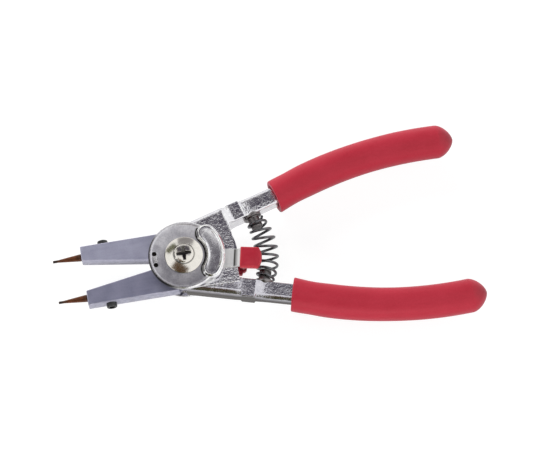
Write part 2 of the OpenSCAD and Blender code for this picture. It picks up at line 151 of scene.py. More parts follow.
@dataclass
class Solid:
    """Points in millimetres, faces as index lists, and a mask: 1 on worn rims, above 0 also for painted
    highlights, and below 0 down to -1 for painted shade.
    """

    points: np.ndarray
    faces: list[list[int]]
    rim: np.ndarray

    def __add__(self, other: "Solid") -> "Solid":
        """Both solids as one, with the second's indices moved up.

        Args:
            other: Solid to add.

        Returns:
            The joined solid.
        """
        shift = len(self.points)
        moved = [[i + shift for i in face] for face in other.faces]
        rim = np.concatenate([self.rim, other.rim])
        return Solid(np.concatenate([self.points, other.points]), self.faces + moved, rim)

    def placed(
        self, turn: float = 0.0, scale: Sequence[float] = (1, 1, 1), shift: Sequence[float] = (0, 0, 0)
    ) -> "Solid":
        """Scales by axis, turns about Z and shifts, in that order.

        Args:
            turn: Angle about Z in degrees.
            scale: Factor of each axis; -1 mirrors it.
            shift: Step along each axis in millimetres.

        Returns:
            The moved solid.
        """
        c, s = math.cos(math.radians(turn)), math.sin(math.radians(turn))
        spin = np.array([[c, s, 0], [-s, c, 0], [0, 0, 1]])
        return Solid((self.points * np.array(scale)) @ spin + np.array(shift), self.faces, self.rim)


def smooth(x: np.ndarray, low: float, high: float) -> np.ndarray:
    """Smooth step: 0 below low, 1 above high, 3t^2 - 2t^3 of the share t between them."""
    t = np.clip((x - low) / (high - low), 0, 1)
    return t * t * (3 - 2 * t)


def between(share: np.ndarray, first: np.ndarray | float, second: np.ndarray | float) -> np.ndarray:
    """Value between two: first (1 - share) + second share."""
    return first * (1 - share) + second * share


def bell(x: np.ndarray, place: float, width: float) -> np.ndarray:
    """Bell curve that is 1 at its place: exp(-((x - place) / width)^2)."""
    return np.exp(-(((x - place) / width) ** 2))


def unit(vectors: np.ndarray) -> np.ndarray:
    """Rows of vectors, each divided by its length."""
    return vectors / np.linalg.norm(vectors, axis=1, keepdims=True)


def quarter(steps: int) -> np.ndarray:
    """Angles of a quarter turn in equal steps, with both ends."""
    return np.linspace(0, np.pi / 2, steps + 1)


def full_turn(sides: int) -> np.ndarray:
    """Angles of a full turn in equal steps, as one row."""
    return np.linspace(0, 2 * np.pi, sides, endpoint=False)[None]


def half_circle(radius: float, x: np.ndarray) -> np.ndarray:
    """Height of a circle over its middle: sqrt(R^2 - x^2), and 0 beyond it."""
    return np.sqrt(np.maximum(radius**2 - x**2, 0.0))


def stretches(runs: Sequence[tuple[float, float, int]]) -> np.ndarray:
    """Even stretches one after another, each given by its start, its end and its count."""
    return np.concatenate([np.linspace(*run) for run in runs])


def columns(*pairs: tuple[np.ndarray | float, np.ndarray | float]) -> np.ndarray:
    """Points of a section side by side: an array of stations x points x 2 from pairs of (across, height)."""
    return np.concatenate([np.stack(np.broadcast_arrays(*pair), axis=-1) for pair in pairs], axis=1)


def fillet(
    corners: Sequence[Sequence[float]], radius: float, closed: bool = True, steps: int = 4
) -> tuple[np.ndarray, np.ndarray]:
    """Rounds a polyline's corners: each corner P between A and B becomes (1-t)^2 A + 2t(1-t) P + t^2 B.

    A and B lie on the two edges, and a support point beyond each keeps the flats flat.

    Args:
        corners: Plan points in order.
        radius: Distance of A and B from the corner, at most EDGE_SHARE of the shorter edge.
        closed: Whether the last point joins the first.
        steps: Pieces in each rounding.

    Returns:
        The rounded points, and a mask that is 1 on the roundings.
    """
    p = np.asarray(corners, float)
    before, after = np.roll(p, 1, 0) - p, np.roll(p, -1, 0) - p
    shorter = np.minimum(np.linalg.norm(before, axis=1), np.linalg.norm(after, axis=1))
    cut = np.minimum(radius, EDGE_SHARE * shorter)[:, None]
    u, v = unit(before), unit(after)
    t = np.linspace(0, 1, steps + 1)[None, :, None]
    a, b = (p + u * cut)[:, None], (p + v * cut)[:, None]
    bent = (1 - t) ** 2 * a + 2 * t * (1 - t) * p[:, None] + t * t * b
    rows = np.concatenate([a + SUPPORT * u[:, None], bent, b + SUPPORT * v[:, None]], axis=1)
    rim = np.tile(np.r_[0.0, np.ones(steps + 1), 0.0], (len(p), 1))
    if closed:
        return rows.reshape(-1, p.shape[1]), rim.ravel()
    inner = rows[1:-1].reshape(-1, p.shape[1])
    return np.concatenate([p[:1], inner, p[-1:]]), np.r_[0.0, rim[1:-1].ravel(), 0.0]


def carry(loops: np.ndarray, wrap: bool = False, rim: np.ndarray | float = 0.0) -> Solid:
    """Skins closed loops in order: quads join each loop to the next, and flat caps close the two ends.

    Args:
        loops: Array of loops x points x 3, in millimetres.
        wrap: Whether the last loop joins the first, which leaves no caps.
        rim: Mask of wear, painted highlight and painted shade, of any shape that fits loops x points.

    Returns:
        The skinned solid.
    """
    rows, cols = loops.shape[:2]
    index = np.arange(rows * cols).reshape(rows, cols)
    here, there = (index, np.roll(index, -1, 0)) if wrap else (index[:-1], index[1:])
    quads = np.stack([here, np.roll(here, -1, 1), np.roll(there, -1, 1), there], axis=-1).reshape(-1, 4)
    faces = quads.tolist()
    if not wrap:
        faces += [index[0][::-1].tolist(), index[-1].tolist()]
    return Solid(loops.reshape(-1, 3), faces, np.broadcast_to(rim, (rows, cols)).ravel().astype(float))


def rings(radius: np.ndarray, height: np.ndarray, a: np.ndarray) -> np.ndarray:
    """Loops about Z at the angles a: x = r cos a, y = r sin a, z = h."""
    r, h, a = np.broadcast_arrays(radius, height, a)
    return np.stack([r * np.cos(a), r * np.sin(a), h], axis=-1)


def lathe(profile: np.ndarray, rim: np.ndarray | float = 0.0, sides: int = 96, wrap: bool = False) -> Solid:
    """Turns a profile about Z.

    Args:
        profile: Rows of (radius, height), in millimetres.
        rim: Mask of wear and painted shade along the profile.
        sides: Points round each loop.
        wrap: Whether the profile's end joins its start.

    Returns:
        The turned solid.
    """
    loops = rings(profile[:, :1], profile[:, 1:], full_turn(sides))
    return carry(loops, wrap, np.asarray(rim, float).reshape(-1, 1))


def inset(outline: np.ndarray, depth: float) -> np.ndarray:
    """Moves an outline's points inwards by depth along the mitre of their two edges' normals.

    Args:
        outline: Plan points in order, counter-clockwise.
        depth: Distance between the old edges and the new ones.

    Returns:
        The smaller outline.
    """
    edge = np.roll(outline, -1, 0) - outline
    normal = unit(np.stack([edge[:, 1], -edge[:, 0]], axis=1))
    last = np.roll(normal, 1, 0)
    sharpest = 0.4
    mitre = (normal + last) / np.maximum(1 + np.sum(normal * last, axis=1, keepdims=True), sharpest)
    return outline - depth * mitre


def plate(
    outline: np.ndarray, low: float, high: float, bevel: float, crown: float = 0.0, steps: int = 3
) -> Solid:
    """Flat plate over a counter-clockwise outline, with quarter-round edges and a crowned top if asked.

    The edge's inset is b(1 - sin q) at the height b(1 - cos q) from each face. The crown's rings shrink to
    the middle by k and rise by crown (1 - k^2).

    Args:
        outline: Plan points, in millimetres.
        low: Height of the under face.
        high: Height of the upper face.
        bevel: Radius of the edges.
        crown: Rise of the middle of the upper face.
        steps: Pieces in each quarter round.

    Returns:
        The plate.
    """
    q = quarter(steps)
    depth, rise = bevel * (1 - np.sin(q)), bevel * (1 - np.cos(q))
    depths = np.r_[bevel + SUPPORT, depth, depth[::-1], bevel + SUPPORT]
    heights = np.r_[low, low + rise, (high - rise)[::-1], high]
    rim = np.r_[0, np.ones(2 * steps + 2), 0]
    loops = [np.c_[inset(outline, d), np.full(len(outline), z)] for d, z in zip(depths, heights)]
    if crown:
        top = loops[-1]
        middle = np.r_[top[:, :2].mean(0), high]
        loops += [middle + (top - middle) * k + (0, 0, crown * (1 - k * k)) for k in CROWN_RINGS]
        rim = np.r_[rim, np.zeros(len(CROWN_RINGS))]
    return carry(np.stack(loops), rim=rim[:, None])


def rounded_box(width: float, height: float, radius: float) -> tuple[np.ndarray, np.ndarray]:
    """Counter-clockwise rectangle about the origin with rounded corners, and its wear mask."""
    w, h = width / 2, height / 2
    return fillet([(-w, -h), (w, -h), (w, h), (-w, h)], radius)


def bar(
    path: np.ndarray, side: np.ndarray, up: np.ndarray, width: float, thick: float, radius: float
) -> Solid:
    """Carries a rounded rectangle along a path: each loop is path + x side + y up.

    Args:
        path: Points of the middle line, in millimetres.
        side: Direction of the width at each point.
        up: Direction of the thickness at each point.
        width: Rectangle's width.
        thick: Rectangle's thickness.
        radius: Rounding of its corners.

    Returns:
        The bar.
    """
    profile, rim = rounded_box(width, thick, radius)
    loops = path[:, None] + profile[None, :, :1] * side[:, None] + profile[None, :, 1:] * up[:, None]
    return carry(loops, rim=rim[None])


def arc(radius: float, start: float, end: float, count: int, centre: Sequence[float] = (0, 0)) -> np.ndarray:
    """Points on an arc of a circle, with its angles in degrees."""
    a = np.radians(np.linspace(start, end, count))
    return np.array(centre) + radius * np.stack([np.cos(a), np.sin(a)], axis=1)


def on_x(solid: Solid) -> Solid:
    """Turns a solid made along +Z to lie along -X."""
    x, y, z = solid.points.T
    return Solid(np.stack([-z, y, x], axis=1), solid.faces, solid.rim)


def on_y(solid: Solid) -> Solid:
    """Turns a solid made along +Z to lie along +Y."""
    x, y, z = solid.points.T
    return Solid(np.stack([x, z, -y], axis=1), solid.faces, solid.rim)


# Finishes


Inputs = dict[str | int, object]
Colour = tuple[float, float, float]


class Sheet:
    """A node tree with short calls to add and join nodes."""

    def __init__(self, tree: bpy.types.NodeTree) -> None:
        """Keeps the tree that the nodes go into."""
        self.tree = tree

    def fill(self, node: bpy.types.Node, inputs: Inputs) -> None:
        """Sets each input of a node to a value, or links it to an output socket.

        Args:
            node: Node of this tree.
            inputs: Socket name or number to a value or to an output socket.
        """
        for key, value in inputs.items():
            if isinstance(value, bpy.types.NodeSocket):
                self.tree.links.new(value, node.inputs[key])
            else:
                node.inputs[key].default_value = value

    def add(self, kind: str, inputs: Inputs | None = None, **settings: object) -> bpy.types.Node:
        """Adds a node, sets its fields, and fills or links its inputs.

        Args:
            kind: Blender's name of the node's type.
            inputs: Socket name or number to a value or to an output socket.
            **settings: Fields of the node.

        Returns:
            The new node.
        """
        node = self.tree.nodes.new(kind)
        for key, value in settings.items():
            setattr(node, key, value)
        self.fill(node, inputs or {})
        return node

    def place(self) -> bpy.types.NodeSocket:
        """Place on the object, in its own coordinates."""
        return self.add("ShaderNodeTexCoord").outputs["Object"]

    def math(self, operation: str, a: object, b: object = 0.0) -> bpy.types.NodeSocket:
        """Result of a Math node on two values or sockets."""
        return self.add("ShaderNodeMath", {0: a, 1: b}, operation=operation).outputs[0]

    def total(self, a: object, a_share: float, b: object, b_share: float) -> bpy.types.NodeSocket:
        """Sum of two values, each times its share."""
        return self.math("ADD", self.math("MULTIPLY", a, a_share), self.math("MULTIPLY", b, b_share))

    def mix(self, factor: object, a: object, b: object) -> bpy.types.NodeSocket:
        """Colour between a and b by factor."""
        return self.add("ShaderNodeMix", {0: factor, 6: a, 7: b}, data_type="RGBA").outputs[2]

    def span(
        self, value: object, low: float, high: float, to_low: float, to_high: float
    ) -> bpy.types.NodeSocket:
        """Value mapped from one range to another, held at the ends."""
        inputs = {0: value, 1: low, 2: high, 3: to_low, 4: to_high}
        return self.add("ShaderNodeMapRange", inputs, clamp=True).outputs[0]


def new_group(
    name: str, inputs: dict[str, float], outputs: Sequence[str]
) -> tuple[Sheet, bpy.types.Node, bpy.types.Node]:
    """Makes an empty shader group with float sockets.

    Args:
        name: Group's name.
        inputs: Input names with their usual values.
        outputs: Output names.

    Returns:
        The group's sheet, its input node and its output node.
    """
    group = bpy.data.node_groups.new(name, "ShaderNodeTree")
    for key, value in inputs.items():
        socket = group.interface.new_socket(key, in_out="INPUT", socket_type="NodeSocketFloat")
        socket.default_value = value
    for key in outputs:
        group.interface.new_socket(key, in_out="OUTPUT", socket_type="NodeSocketFloat")
    sheet = Sheet(group)
    return sheet, sheet.add("NodeGroupInput"), sheet.add("NodeGroupOutput")


def grain_group() -> bpy.types.NodeTree:
    """Group of a fine speckle, a slow mottle and drawn streaks along X, each from 0 to 1.

    Returns:
        The group: noise of each scale, stretched from its middle range to the whole of 0 to 1.
    """
    scales = {"Speckle scale": 2200.0, "Mottle scale": 120.0, "Streak scale": 900.0}
    sheet, given, out = new_group("surface_grain", scales, ("Speckle", "Mottle", "Streak"))
    place = sheet.place()
    drawn_out, dimmest, brightest = 0.06, 0.3, 0.7
    thin = sheet.add("ShaderNodeMapping", {"Vector": place, "Scale": (drawn_out, 1.0, 1.0)}).outputs[0]
    for name, vector, detail in (("Speckle", place, 2.0), ("Mottle", place, 4.0), ("Streak", thin, 3.0)):
        inputs = {"Vector": vector, "Scale": given.outputs[name + " scale"], "Detail": detail}
        noise = sheet.add("ShaderNodeTexNoise", inputs)
        sheet.fill(out, {name: sheet.span(noise.outputs[0], dimmest, brightest, 0.0, 1.0)})
    return sheet.tree


def wear_and_painted_light_group() -> bpy.types.NodeTree:
    """Group of worn rims and painted highlights, and of painted shade: the rim attribute above and below 0,
    broken up by noise.

    Returns:
        The group: wear with painted highlight is rim x noise x strength, and painted shade is the part of the
            rim below 0.
    """
    sheet, given, out = new_group("rim_wear_and_painted_light", {"Strength": 0.6, "Break scale": 500.0}, ("Wear", "Painted_shade"))
    rim = sheet.add("ShaderNodeAttribute", attribute_name="rim").outputs["Fac"]
    inputs = {"Vector": sheet.place(), "Scale": given.outputs["Break scale"], "Detail": 3.0}
    noise = sheet.add("ShaderNodeTexNoise", inputs)
    dimmest, brightest, least = 0.3, 0.65, 0.35
    broken = sheet.math("MULTIPLY", rim, sheet.span(noise.outputs[0], dimmest, brightest, least, 1.0))
    worn_and_highlight = sheet.math("MULTIPLY", broken, given.outputs["Strength"])
    # The first output carries worn rims and painted highlights, the second painted shade.
    sheet.fill(out, {"Wear": sheet.span(worn_and_highlight, 0, 1, 0, 1), "Painted_shade": sheet.span(rim, -1, 0, 1, 0)})
    return sheet.tree


GRAIN = grain_group()
WEAR_AND_PAINTED_LIGHT = wear_and_painted_light_group()


@dataclass(frozen=True)
class Finish:
    """A surface finish: two tones mixed by its grain, a roughness range, a fine relief, worn rims with
    painted highlights, and painted shade.
    """

    name: str
    slot: str
    light: Colour
    dark: Colour
    # Colour of worn rims and painted highlights, also the sheen's tint
    worn_and_highlight: Colour
    metallic: float
    rough_low: float
    rough_high: float
    speckle_scale: float = 2200.0
    mottle_scale: float = 120.0
    mottle_share: float = 0.6
    streak_scale: float = 900.0
    streak_share: float = 0.3
    cloud_range: tuple[float, float] = (0.1, 0.9)
    # Strength of worn rims and of painted highlights
    wear: float = 0.5
    worn_and_highlight_gloss: float = 0.45
    relief: float = 0.05
    relief_depth: float = 0.00004
    specular: float = 0.5
    coat: float = 0.0
    coat_rough: float = 0.2
    sheen: float = 0.0
    sheen_rough: float = 0.4
    # Colour towards which painted shade darkens
    painted_shade: Colour = (0.022, 0.019, 0.017)

    def tone(self, sheet: Sheet, mottle: bpy.types.NodeSocket) -> bpy.types.NodeSocket:
        """Ground colour before wear: dark to light by the mottle."""
        return sheet.mix(mottle, (*self.dark, 1), (*self.light, 1))

    def material(self) -> bpy.types.Material:
        """Builds the material, once for each finish.

        Returns:
            The material: its tones follow mottle and grain, and wear, painted highlights and painted shade
                lie over them.
        """
        found = bpy.data.materials.get(self.name)
        if found:
            return found
        material = bpy.data.materials.new(self.name)
        material.use_nodes = True
        sheet = Sheet(material.node_tree)
        scales = {"Speckle": self.speckle_scale, "Mottle": self.mottle_scale, "Streak": self.streak_scale}
        scales = {key + " scale": value for key, value in scales.items()}
        grain = sheet.add("ShaderNodeGroup", scales, node_tree=GRAIN).outputs
        wear = sheet.add("ShaderNodeGroup", {"Strength": self.wear}, node_tree=WEAR_AND_PAINTED_LIGHT).outputs
        fine = sheet.total(grain["Streak"], self.streak_share, grain["Speckle"], 1 - self.streak_share)
        cloud = sheet.total(grain["Mottle"], self.mottle_share, fine, 1 - self.mottle_share)
        # Worn rims and painted highlights go towards the worn colour
        colour = sheet.mix(wear["Wear"], self.tone(sheet, cloud), (*self.worn_and_highlight, 1))
        rough = sheet.span(cloud, *self.cloud_range, self.rough_low, self.rough_high)
        relief = {"Height": fine, "Strength": self.relief, "Distance": self.relief_depth}
        sockets = {
            # Painted shade: the colour goes towards the shade colour where the rim mask is below 0
            "Base Color": sheet.mix(wear["Painted_shade"], colour, (*self.painted_shade, 1)),
            "Roughness": sheet.math("MULTIPLY", rough, sheet.span(wear["Wear"], 0, 1, 1.0, self.worn_and_highlight_gloss)),
            "Normal": sheet.add("ShaderNodeBump", relief).outputs[0],
            "Metallic": self.metallic,
            "Specular IOR Level": self.specular,
            "Coat Weight": self.coat,
            "Coat Roughness": self.coat_rough,
            "Sheen Weight": self.sheen,
            "Sheen Roughness": self.sheen_rough,
            "Sheen Tint": (*self.worn_and_highlight, 1),
        }
        sheet.fill(material.node_tree.nodes["Principled BSDF"], sockets)
        return material


@dataclass(frozen=True)
class TipFinish(Finish):
    """Copper wash that is heat-darkened at the point and stained where the tip leaves the jaw.

    Places and lengths are in metres along X.
    """

    point_x: float = -0.0598
    burnt_length: float = 0.0012
    fade_length: float = 0.0045
    jaw_x: float = -0.0465
    stain_length: float = 0.0030
    stain: float = 0.75
    burnt: Colour = (0.045, 0.032, 0.026)

    def tone(self, sheet: Sheet, mottle: bpy.types.NodeSocket) -> bpy.types.NodeSocket:
        """Copper by the mottle, darkening over the fade's length to the point and the stain's to the jaw.

        Args:
            sheet: Material's sheet.
            mottle: Share of the light tone.

        Returns:
            The ground colour before wear.
        """
        ground = Finish.tone(self, sheet, mottle)
        x = sheet.add("ShaderNodeSeparateXYZ", {0: sheet.place()}).outputs[0]
        point = sheet.span(x, self.point_x + self.burnt_length, self.point_x + self.fade_length, 1.0, 0.0)
        stained = sheet.span(x, self.jaw_x - self.stain_length, self.jaw_x, 0.0, self.stain)
        return sheet.mix(sheet.math("MAXIMUM", point, stained), ground, (*self.burnt, 1))


PRESSED_NICKEL = Finish(
    "pressed_nickel", "nickel_steel",
    light=(0.98, 0.98, 0.98), dark=(0.74, 0.73, 0.78), worn_and_highlight=(0.97, 0.97, 0.97),
    metallic=1.0, rough_low=0.10, rough_high=0.26,
    speckle_scale=1100.0, mottle_scale=420.0, streak_share=0.1, relief=0.8, relief_depth=0.00008,
)
# Painted shade: a darker copy of the pressed nickel for the lower handle, with its own shade colour
SHADED_LOWER_NICKEL = replace(
    PRESSED_NICKEL, name="shaded_pressed_nickel",
    light=(0.76, 0.75, 0.79), dark=(0.52, 0.51, 0.57), relief=0.4, painted_shade=(0.06, 0.05, 0.043),
)
SATIN_NICKEL = Finish(
    "satin_nickel", "nickel_steel",
    light=(0.97, 0.96, 0.99), dark=(0.50, 0.49, 0.54), worn_and_highlight=(0.98, 0.98, 0.97),
    metallic=1.0, rough_low=0.30, rough_high=0.37,
    speckle_scale=1500.0, mottle_scale=240.0, streak_share=0.1, relief=0.10, wear=0.9,
)
BRIGHT_NICKEL = Finish(
    "bright_nickel", "nickel_steel",
    light=(0.88, 0.85, 0.79), dark=(0.76, 0.73, 0.67), worn_and_highlight=(0.95, 0.94, 0.90),
    metallic=1.0, rough_low=0.13, rough_high=0.21,
    speckle_scale=900.0, mottle_scale=150.0, relief=0.03,
)
JAW_STEEL = Finish(
    "grey_jaw_steel", "jaw_steel",
    light=(0.42, 0.42, 0.53), dark=(0.28, 0.28, 0.38), worn_and_highlight=(0.53, 0.52, 0.62),
    metallic=0.25, rough_low=0.40, rough_high=0.52,
    speckle_scale=1900.0, mottle_scale=140.0, streak_share=0.5, relief=0.12, wear=0.7,
)
# Painted shade: a darker copy of the jaw steel for the lower jaw
SHADED_LOWER_JAW_STEEL = replace(
    JAW_STEEL, name="shaded_jaw_steel", light=(0.265, 0.265, 0.36), dark=(0.17, 0.17, 0.245)
)
LEVER_STEEL = Finish(
    "pale_lever_plate", "nickel_steel",
    light=(0.88, 0.88, 0.87), dark=(0.76, 0.76, 0.76), worn_and_highlight=(0.95, 0.95, 0.94),
    metallic=0.55, rough_low=0.30, rough_high=0.42,
    speckle_scale=1500.0, mottle_scale=240.0, streak_share=0.1, relief=0.10, wear=0.6,
)
BARE_STEEL = Finish(
    "turned_steel", "bare_steel",
    light=(0.50, 0.50, 0.50), dark=(0.34, 0.34, 0.35), worn_and_highlight=(0.75, 0.75, 0.74),
    metallic=1.0, rough_low=0.22, rough_high=0.40, streak_share=0.4, relief=0.10,
)
SPRING_STEEL = Finish(
    "drawn_spring_wire", "spring_steel",
    light=(0.21, 0.21, 0.22), dark=(0.12, 0.12, 0.13), worn_and_highlight=(0.4, 0.4, 0.4),
    metallic=1.0, rough_low=0.20, rough_high=0.34, streak_share=0.6, relief=0.08,
)
PEG_STEEL = Finish(
    "dark_peg_steel", "bare_steel",
    light=(0.25, 0.23, 0.23), dark=(0.14, 0.13, 0.13), worn_and_highlight=(0.42, 0.40, 0.40),
    metallic=1.0, rough_low=0.28, rough_high=0.44, streak_share=0.4, relief=0.10,
)
BLACK_OXIDE = Finish(
    "black_oxide", "black_steel",
    light=(0.020, 0.020, 0.022), dark=(0.009, 0.009, 0.010), worn_and_highlight=(0.10, 0.10, 0.10),
    metallic=0.4, rough_low=0.30, rough_high=0.46, relief=0.08,
)
GRIP_VINYL = Finish(
    "dipped_vinyl", "grip_vinyl",
    light=(0.50, 0.034, 0.058), dark=(0.42, 0.022, 0.040), worn_and_highlight=(0.90, 0.30, 0.42),
    metallic=0.0, rough_low=0.36, rough_high=0.48, specular=0.3, sheen=0.3,
    speckle_scale=1300.0, mottle_scale=70.0, streak_share=0.1, relief=0.10, wear=0.35,
)
CAP_PLASTIC = Finish(
    "moulded_red_cap", "cap_plastic",
    light=(0.46, 0.024, 0.046), dark=(0.37, 0.013, 0.029), worn_and_highlight=(0.64, 0.06, 0.07),
    metallic=0.0, rough_low=0.30, rough_high=0.42,
    speckle_scale=1500.0, mottle_scale=200.0, streak_share=0.1, relief=0.08, wear=0.4,
)
# Painted light: a lighter copy of the cap plastic for the rear cap, which sits in shade under the thumb cap
LIT_REAR_CAP_PLASTIC = replace(
    CAP_PLASTIC, name="lit_rear_red_cap", light=(0.66, 0.05, 0.085), dark=(0.53, 0.032, 0.06)
)
TIP_COPPER = TipFinish(
    "copper_tip", "tip_copper",
    light=(0.21, 0.068, 0.029), dark=(0.085, 0.032, 0.015), worn_and_highlight=(0.26, 0.10, 0.05),
    metallic=0.6, rough_low=0.30, rough_high=0.44,
    speckle_scale=2600.0, mottle_scale=420.0, relief=0.10, wear=0.3,
)


def make_piece(
    name: str, solid: Solid, finish: Finish, body: str | None, stands_for: Sequence[str]
) -> bpy.types.Object:
    """Puts a solid into the scene as one piece that rides on a body.

    Args:
        name: Piece's name.
        solid: Its surface, in millimetres about the middle plane.
        finish: Its material.
        body: CAD body that it rides on, or None to leave it on no body.
        stands_for: CAD nodes that it replaces.

    Returns:
        The new object, at the origin with its place in its mesh.
    """
    mesh = bpy.data.meshes.new(name)
    points = (solid.points + np.array([0, 0, MID])) * MM
    mesh.from_pydata(points.tolist(), [], solid.faces)
    mesh.attributes.new("rim", "FLOAT", "POINT").data.foreach_set("value", solid.rim.astype(np.float32))
    work = bmesh.new()
    work.from_mesh(mesh)
    bmesh.ops.remove_doubles(work, verts=work.verts, dist=MERGE)
    bmesh.ops.recalc_face_normals(work, faces=work.faces)
    work.to_mesh(mesh)
    work.free()
    mesh.shade_smooth()
    mesh.set_sharp_from_angle(angle=math.radians(SHARP_ANGLE))
    piece = bpy.data.objects.new(name, mesh)
    bpy.context.scene.collection.objects.link(piece)
    mesh.materials.append(finish.material())
    if body:
        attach(piece, body)
    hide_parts(*stands_for)
    log.info("%s: %d faces", name, len(mesh.polygons))
    return piece


# Sub-assemblies


@dataclass
class Handle:
    """A pressed channel with wide ears at the pivot, two bends and a neck, in a dipped sleeve.

    Plans are drawn along the neck (s) and across it (t), at handle_open from X. The sleeve's waists are
    rows of depth, place and width, its mouth is rows of place and radius, and runs are places along the neck.
    """

    side: Side
    handle_open: float = 16.2
    edge_off: float = 15.2
    neck_width: float = 8.9
    neck_half: float = 3.4
    panel_half: float = 4.4
    sheet: float = 1.4
    corner: float = 3.0
    panel_corner: float = 0.7
    neck_corner: float = 2.6
    inside_round: float = 0.3
    tightest: float = 0.1
    roll: float = 0.9
    lip_round: float = 0.25
    neck_slope: float = -0.1
    neck_crown: float = 0.15
    settle: float = 6.0
    settle_power: float = 1.5
    seam: float = 0.01
    edge_round: float = 0.3
    fold_share: float = 0.3
    web_start: float = 3.0
    web_gap: float = 0.002
    far: float = 120.0
    ear_end: float = 25.2
    panel_start: float = 28.4
    panel_end: float = 33.8
    neck_start: float = 36.2
    bend_round: float = 1.1
    shut_run: tuple[float, float] = (-0.5, 0.7)
    roll_run: tuple[float, float] = (-0.1, 1.5)
    panel_run: tuple[float, float] = (-0.9, 0.8)
    neck_length: float = 50.9
    neck_lap: float = 5.0
    hub_proud: float = 0.1
    hub_start: float = 0.06
    throat_radius: float = 24.6
    throat_ramp: float = 0.8
    throat_rise: float = 7.0
    ear_edge: float = 23.3
    ear_drop: float = 16.0
    nest_gap: float = 0.5
    closing: float = 1.0
    runs: Sequence[tuple[float, float, int]] = ((0, 24.8, 63), (24.9, 37.4, 84), (38, 60, 12))
    grip_radius: float = 7.8
    grip_curve: float = 185.0
    grip_turn: float = 25.4
    grip_kick: float = 6.8
    grip_shift: float = -0.3
    grip_mouth: Sequence[tuple[float, float]] = ((1.4, 0), (1.4, 5.3), (0.3, 5.6), (0.05, 5.9), (0, 6.2))
    grip_lip: float = 0.6
    lip_gap: float = 0.4
    grip_square: float = 14.0
    waists: Sequence[tuple[float, float, float]] = ((0.22, 9.0, 5.0), (0.10, 46.0, 14.0))
    waist_start: float = 4.0
    nose_power: float = 1.6
    nose_short: float = 0.02
    coil_radius: float = 38.0
    peg_radius: float = 2.8
    peg_length: float = 5.0
    seat_radius: float = 4.3
    seat_back: float = 2.0
    seat_taper: float = 1.2
    seat_thick: float = 1.0
    seat_round: float = 0.35
    block_size: tuple[float, float] = (8.2, 4.0)
    block_off: float = 2.4
    block_round: float = 0.5

    @property
    def ear(self) -> float:
        """Height of the ear's outer face above the middle plane."""
        return STACK.outer_ear if self.side is Side.UPPER else STACK.inner_ear

    @property
    def neck_in(self) -> float:
        """Inner edge of the neck."""
        return self.edge_off - self.neck_width

    @property
    def hub_radius(self) -> float:
        """Radius of the ear round the pivot."""
        nested = self.edge_off - self.sheet - self.nest_gap
        return self.edge_off + self.hub_proud if self.side is Side.UPPER else nested

    @property
    def heading(self) -> tuple[float, float]:
        """Cosine and sine of the neck's angle to X."""
        return math.cos(math.radians(self.handle_open)), math.sin(math.radians(self.handle_open))

    def to_row(self, s: np.ndarray, t: np.ndarray, z: np.ndarray) -> np.ndarray:
        """Neck coordinates to the row frame: turned by handle_open, mirrored for the lower handle."""
        c, n = self.heading
        return np.stack(np.broadcast_arrays(s * c - t * n, self.side.value * (s * n + t * c), z), axis=-1)

    def along(self, x: float, y: float) -> tuple[float, float]:
        """Row plan point to neck coordinates."""
        c, n = self.heading
        return x * c + y * n, -x * n + y * c

    def plate_height(self, s: np.ndarray) -> np.ndarray:
        """Outer face of the side plate: ear, ramp and panel, then a drop that settles to the neck.

        The drop is (panel - neck)(1 - (1 - d / settle)^p) at the distance d past the panel's end.

        Args:
            s: Places along the neck.

        Returns:
            Heights above the middle plane.
        """
        ear, panel = self.ear, self.panel_half
        line = [(-self.far, ear), (self.ear_end, ear), (self.panel_start, panel), (self.far, panel)]
        eased, _ = fillet(line, self.bend_round, closed=False, steps=5)
        drop = 1 - (1 - np.clip((s - self.panel_end) / self.settle, 0, 1)) ** self.settle_power
        return np.interp(s, eased[:, 0], eased[:, 1]) - (panel - self.neck_half) * drop

    def upper_edge(self, s: np.ndarray) -> np.ndarray:
        """Lower limit of the upper ear: hub circle, tail, corner, and a straight throat to the neck.

        Args:
            s: Places along the neck.

        Returns:
            Places across it.
        """
        tail, corner = self.along(0.0, -self.edge_off), self.along(self.ear_edge, -self.ear_drop)
        above = self.ear_edge * math.tan(math.radians(self.handle_open)) + self.throat_rise
        top = self.along(self.ear_edge, above)
        meet = corner[0] + (top[0] - corner[0]) * (self.neck_in - corner[1]) / (top[1] - corner[1])
        line = np.interp(s, [tail[0], corner[0], meet], [tail[1], corner[1], self.neck_in])
        return np.where(s < tail[0], -half_circle(self.hub_radius, s), line)

    def lower_edge(self, s: np.ndarray) -> np.ndarray:
        """Lower limit of the nested ear: hub circle, a straight tail, a round throat and a ramp to the neck.

        Args:
            s: Places along the neck.

        Returns:
            Places across it.
        """
        lean = math.radians(self.handle_open - self.closing)
        tail = (-self.hub_radius - s * math.sin(lean)) / math.cos(lean)
        past_hub = np.maximum(tail, -half_circle(self.throat_radius, s))
        hub_end = -self.hub_radius * math.sin(lean)
        ear = np.where(s < hub_end, -half_circle(self.hub_radius, s), past_hub)
        reach = math.sqrt(self.throat_radius**2 - self.neck_in**2)
        ramp = np.interp(s, [reach, reach + self.throat_ramp], [-self.neck_in, self.neck_in])
        return np.where(s > reach, ramp, ear)

    def inner_edge(self, s: np.ndarray) -> np.ndarray:
        """Lower limit of the plate's plan at s."""
        return self.upper_edge(s) if self.side is Side.UPPER else self.lower_edge(s)

    def stations(self, start: float, end: float) -> np.ndarray:
        """Places along the neck, closer at the hub's round end, the ear's corner and the bends.

        Args:
            start: First place.
            end: Last place.

        Returns:
            The places as a column.
        """
        hub = -self.hub_radius * np.cos(np.linspace(self.hub_start, np.pi / 2, 24))
        corner = self.along(self.ear_edge, -self.ear_drop)[0]
        places = np.r_[hub, stretches(self.runs), corner, start, end]
        return np.unique(np.round(places[(places >= start) & (places <= end)], 4))[:, None]

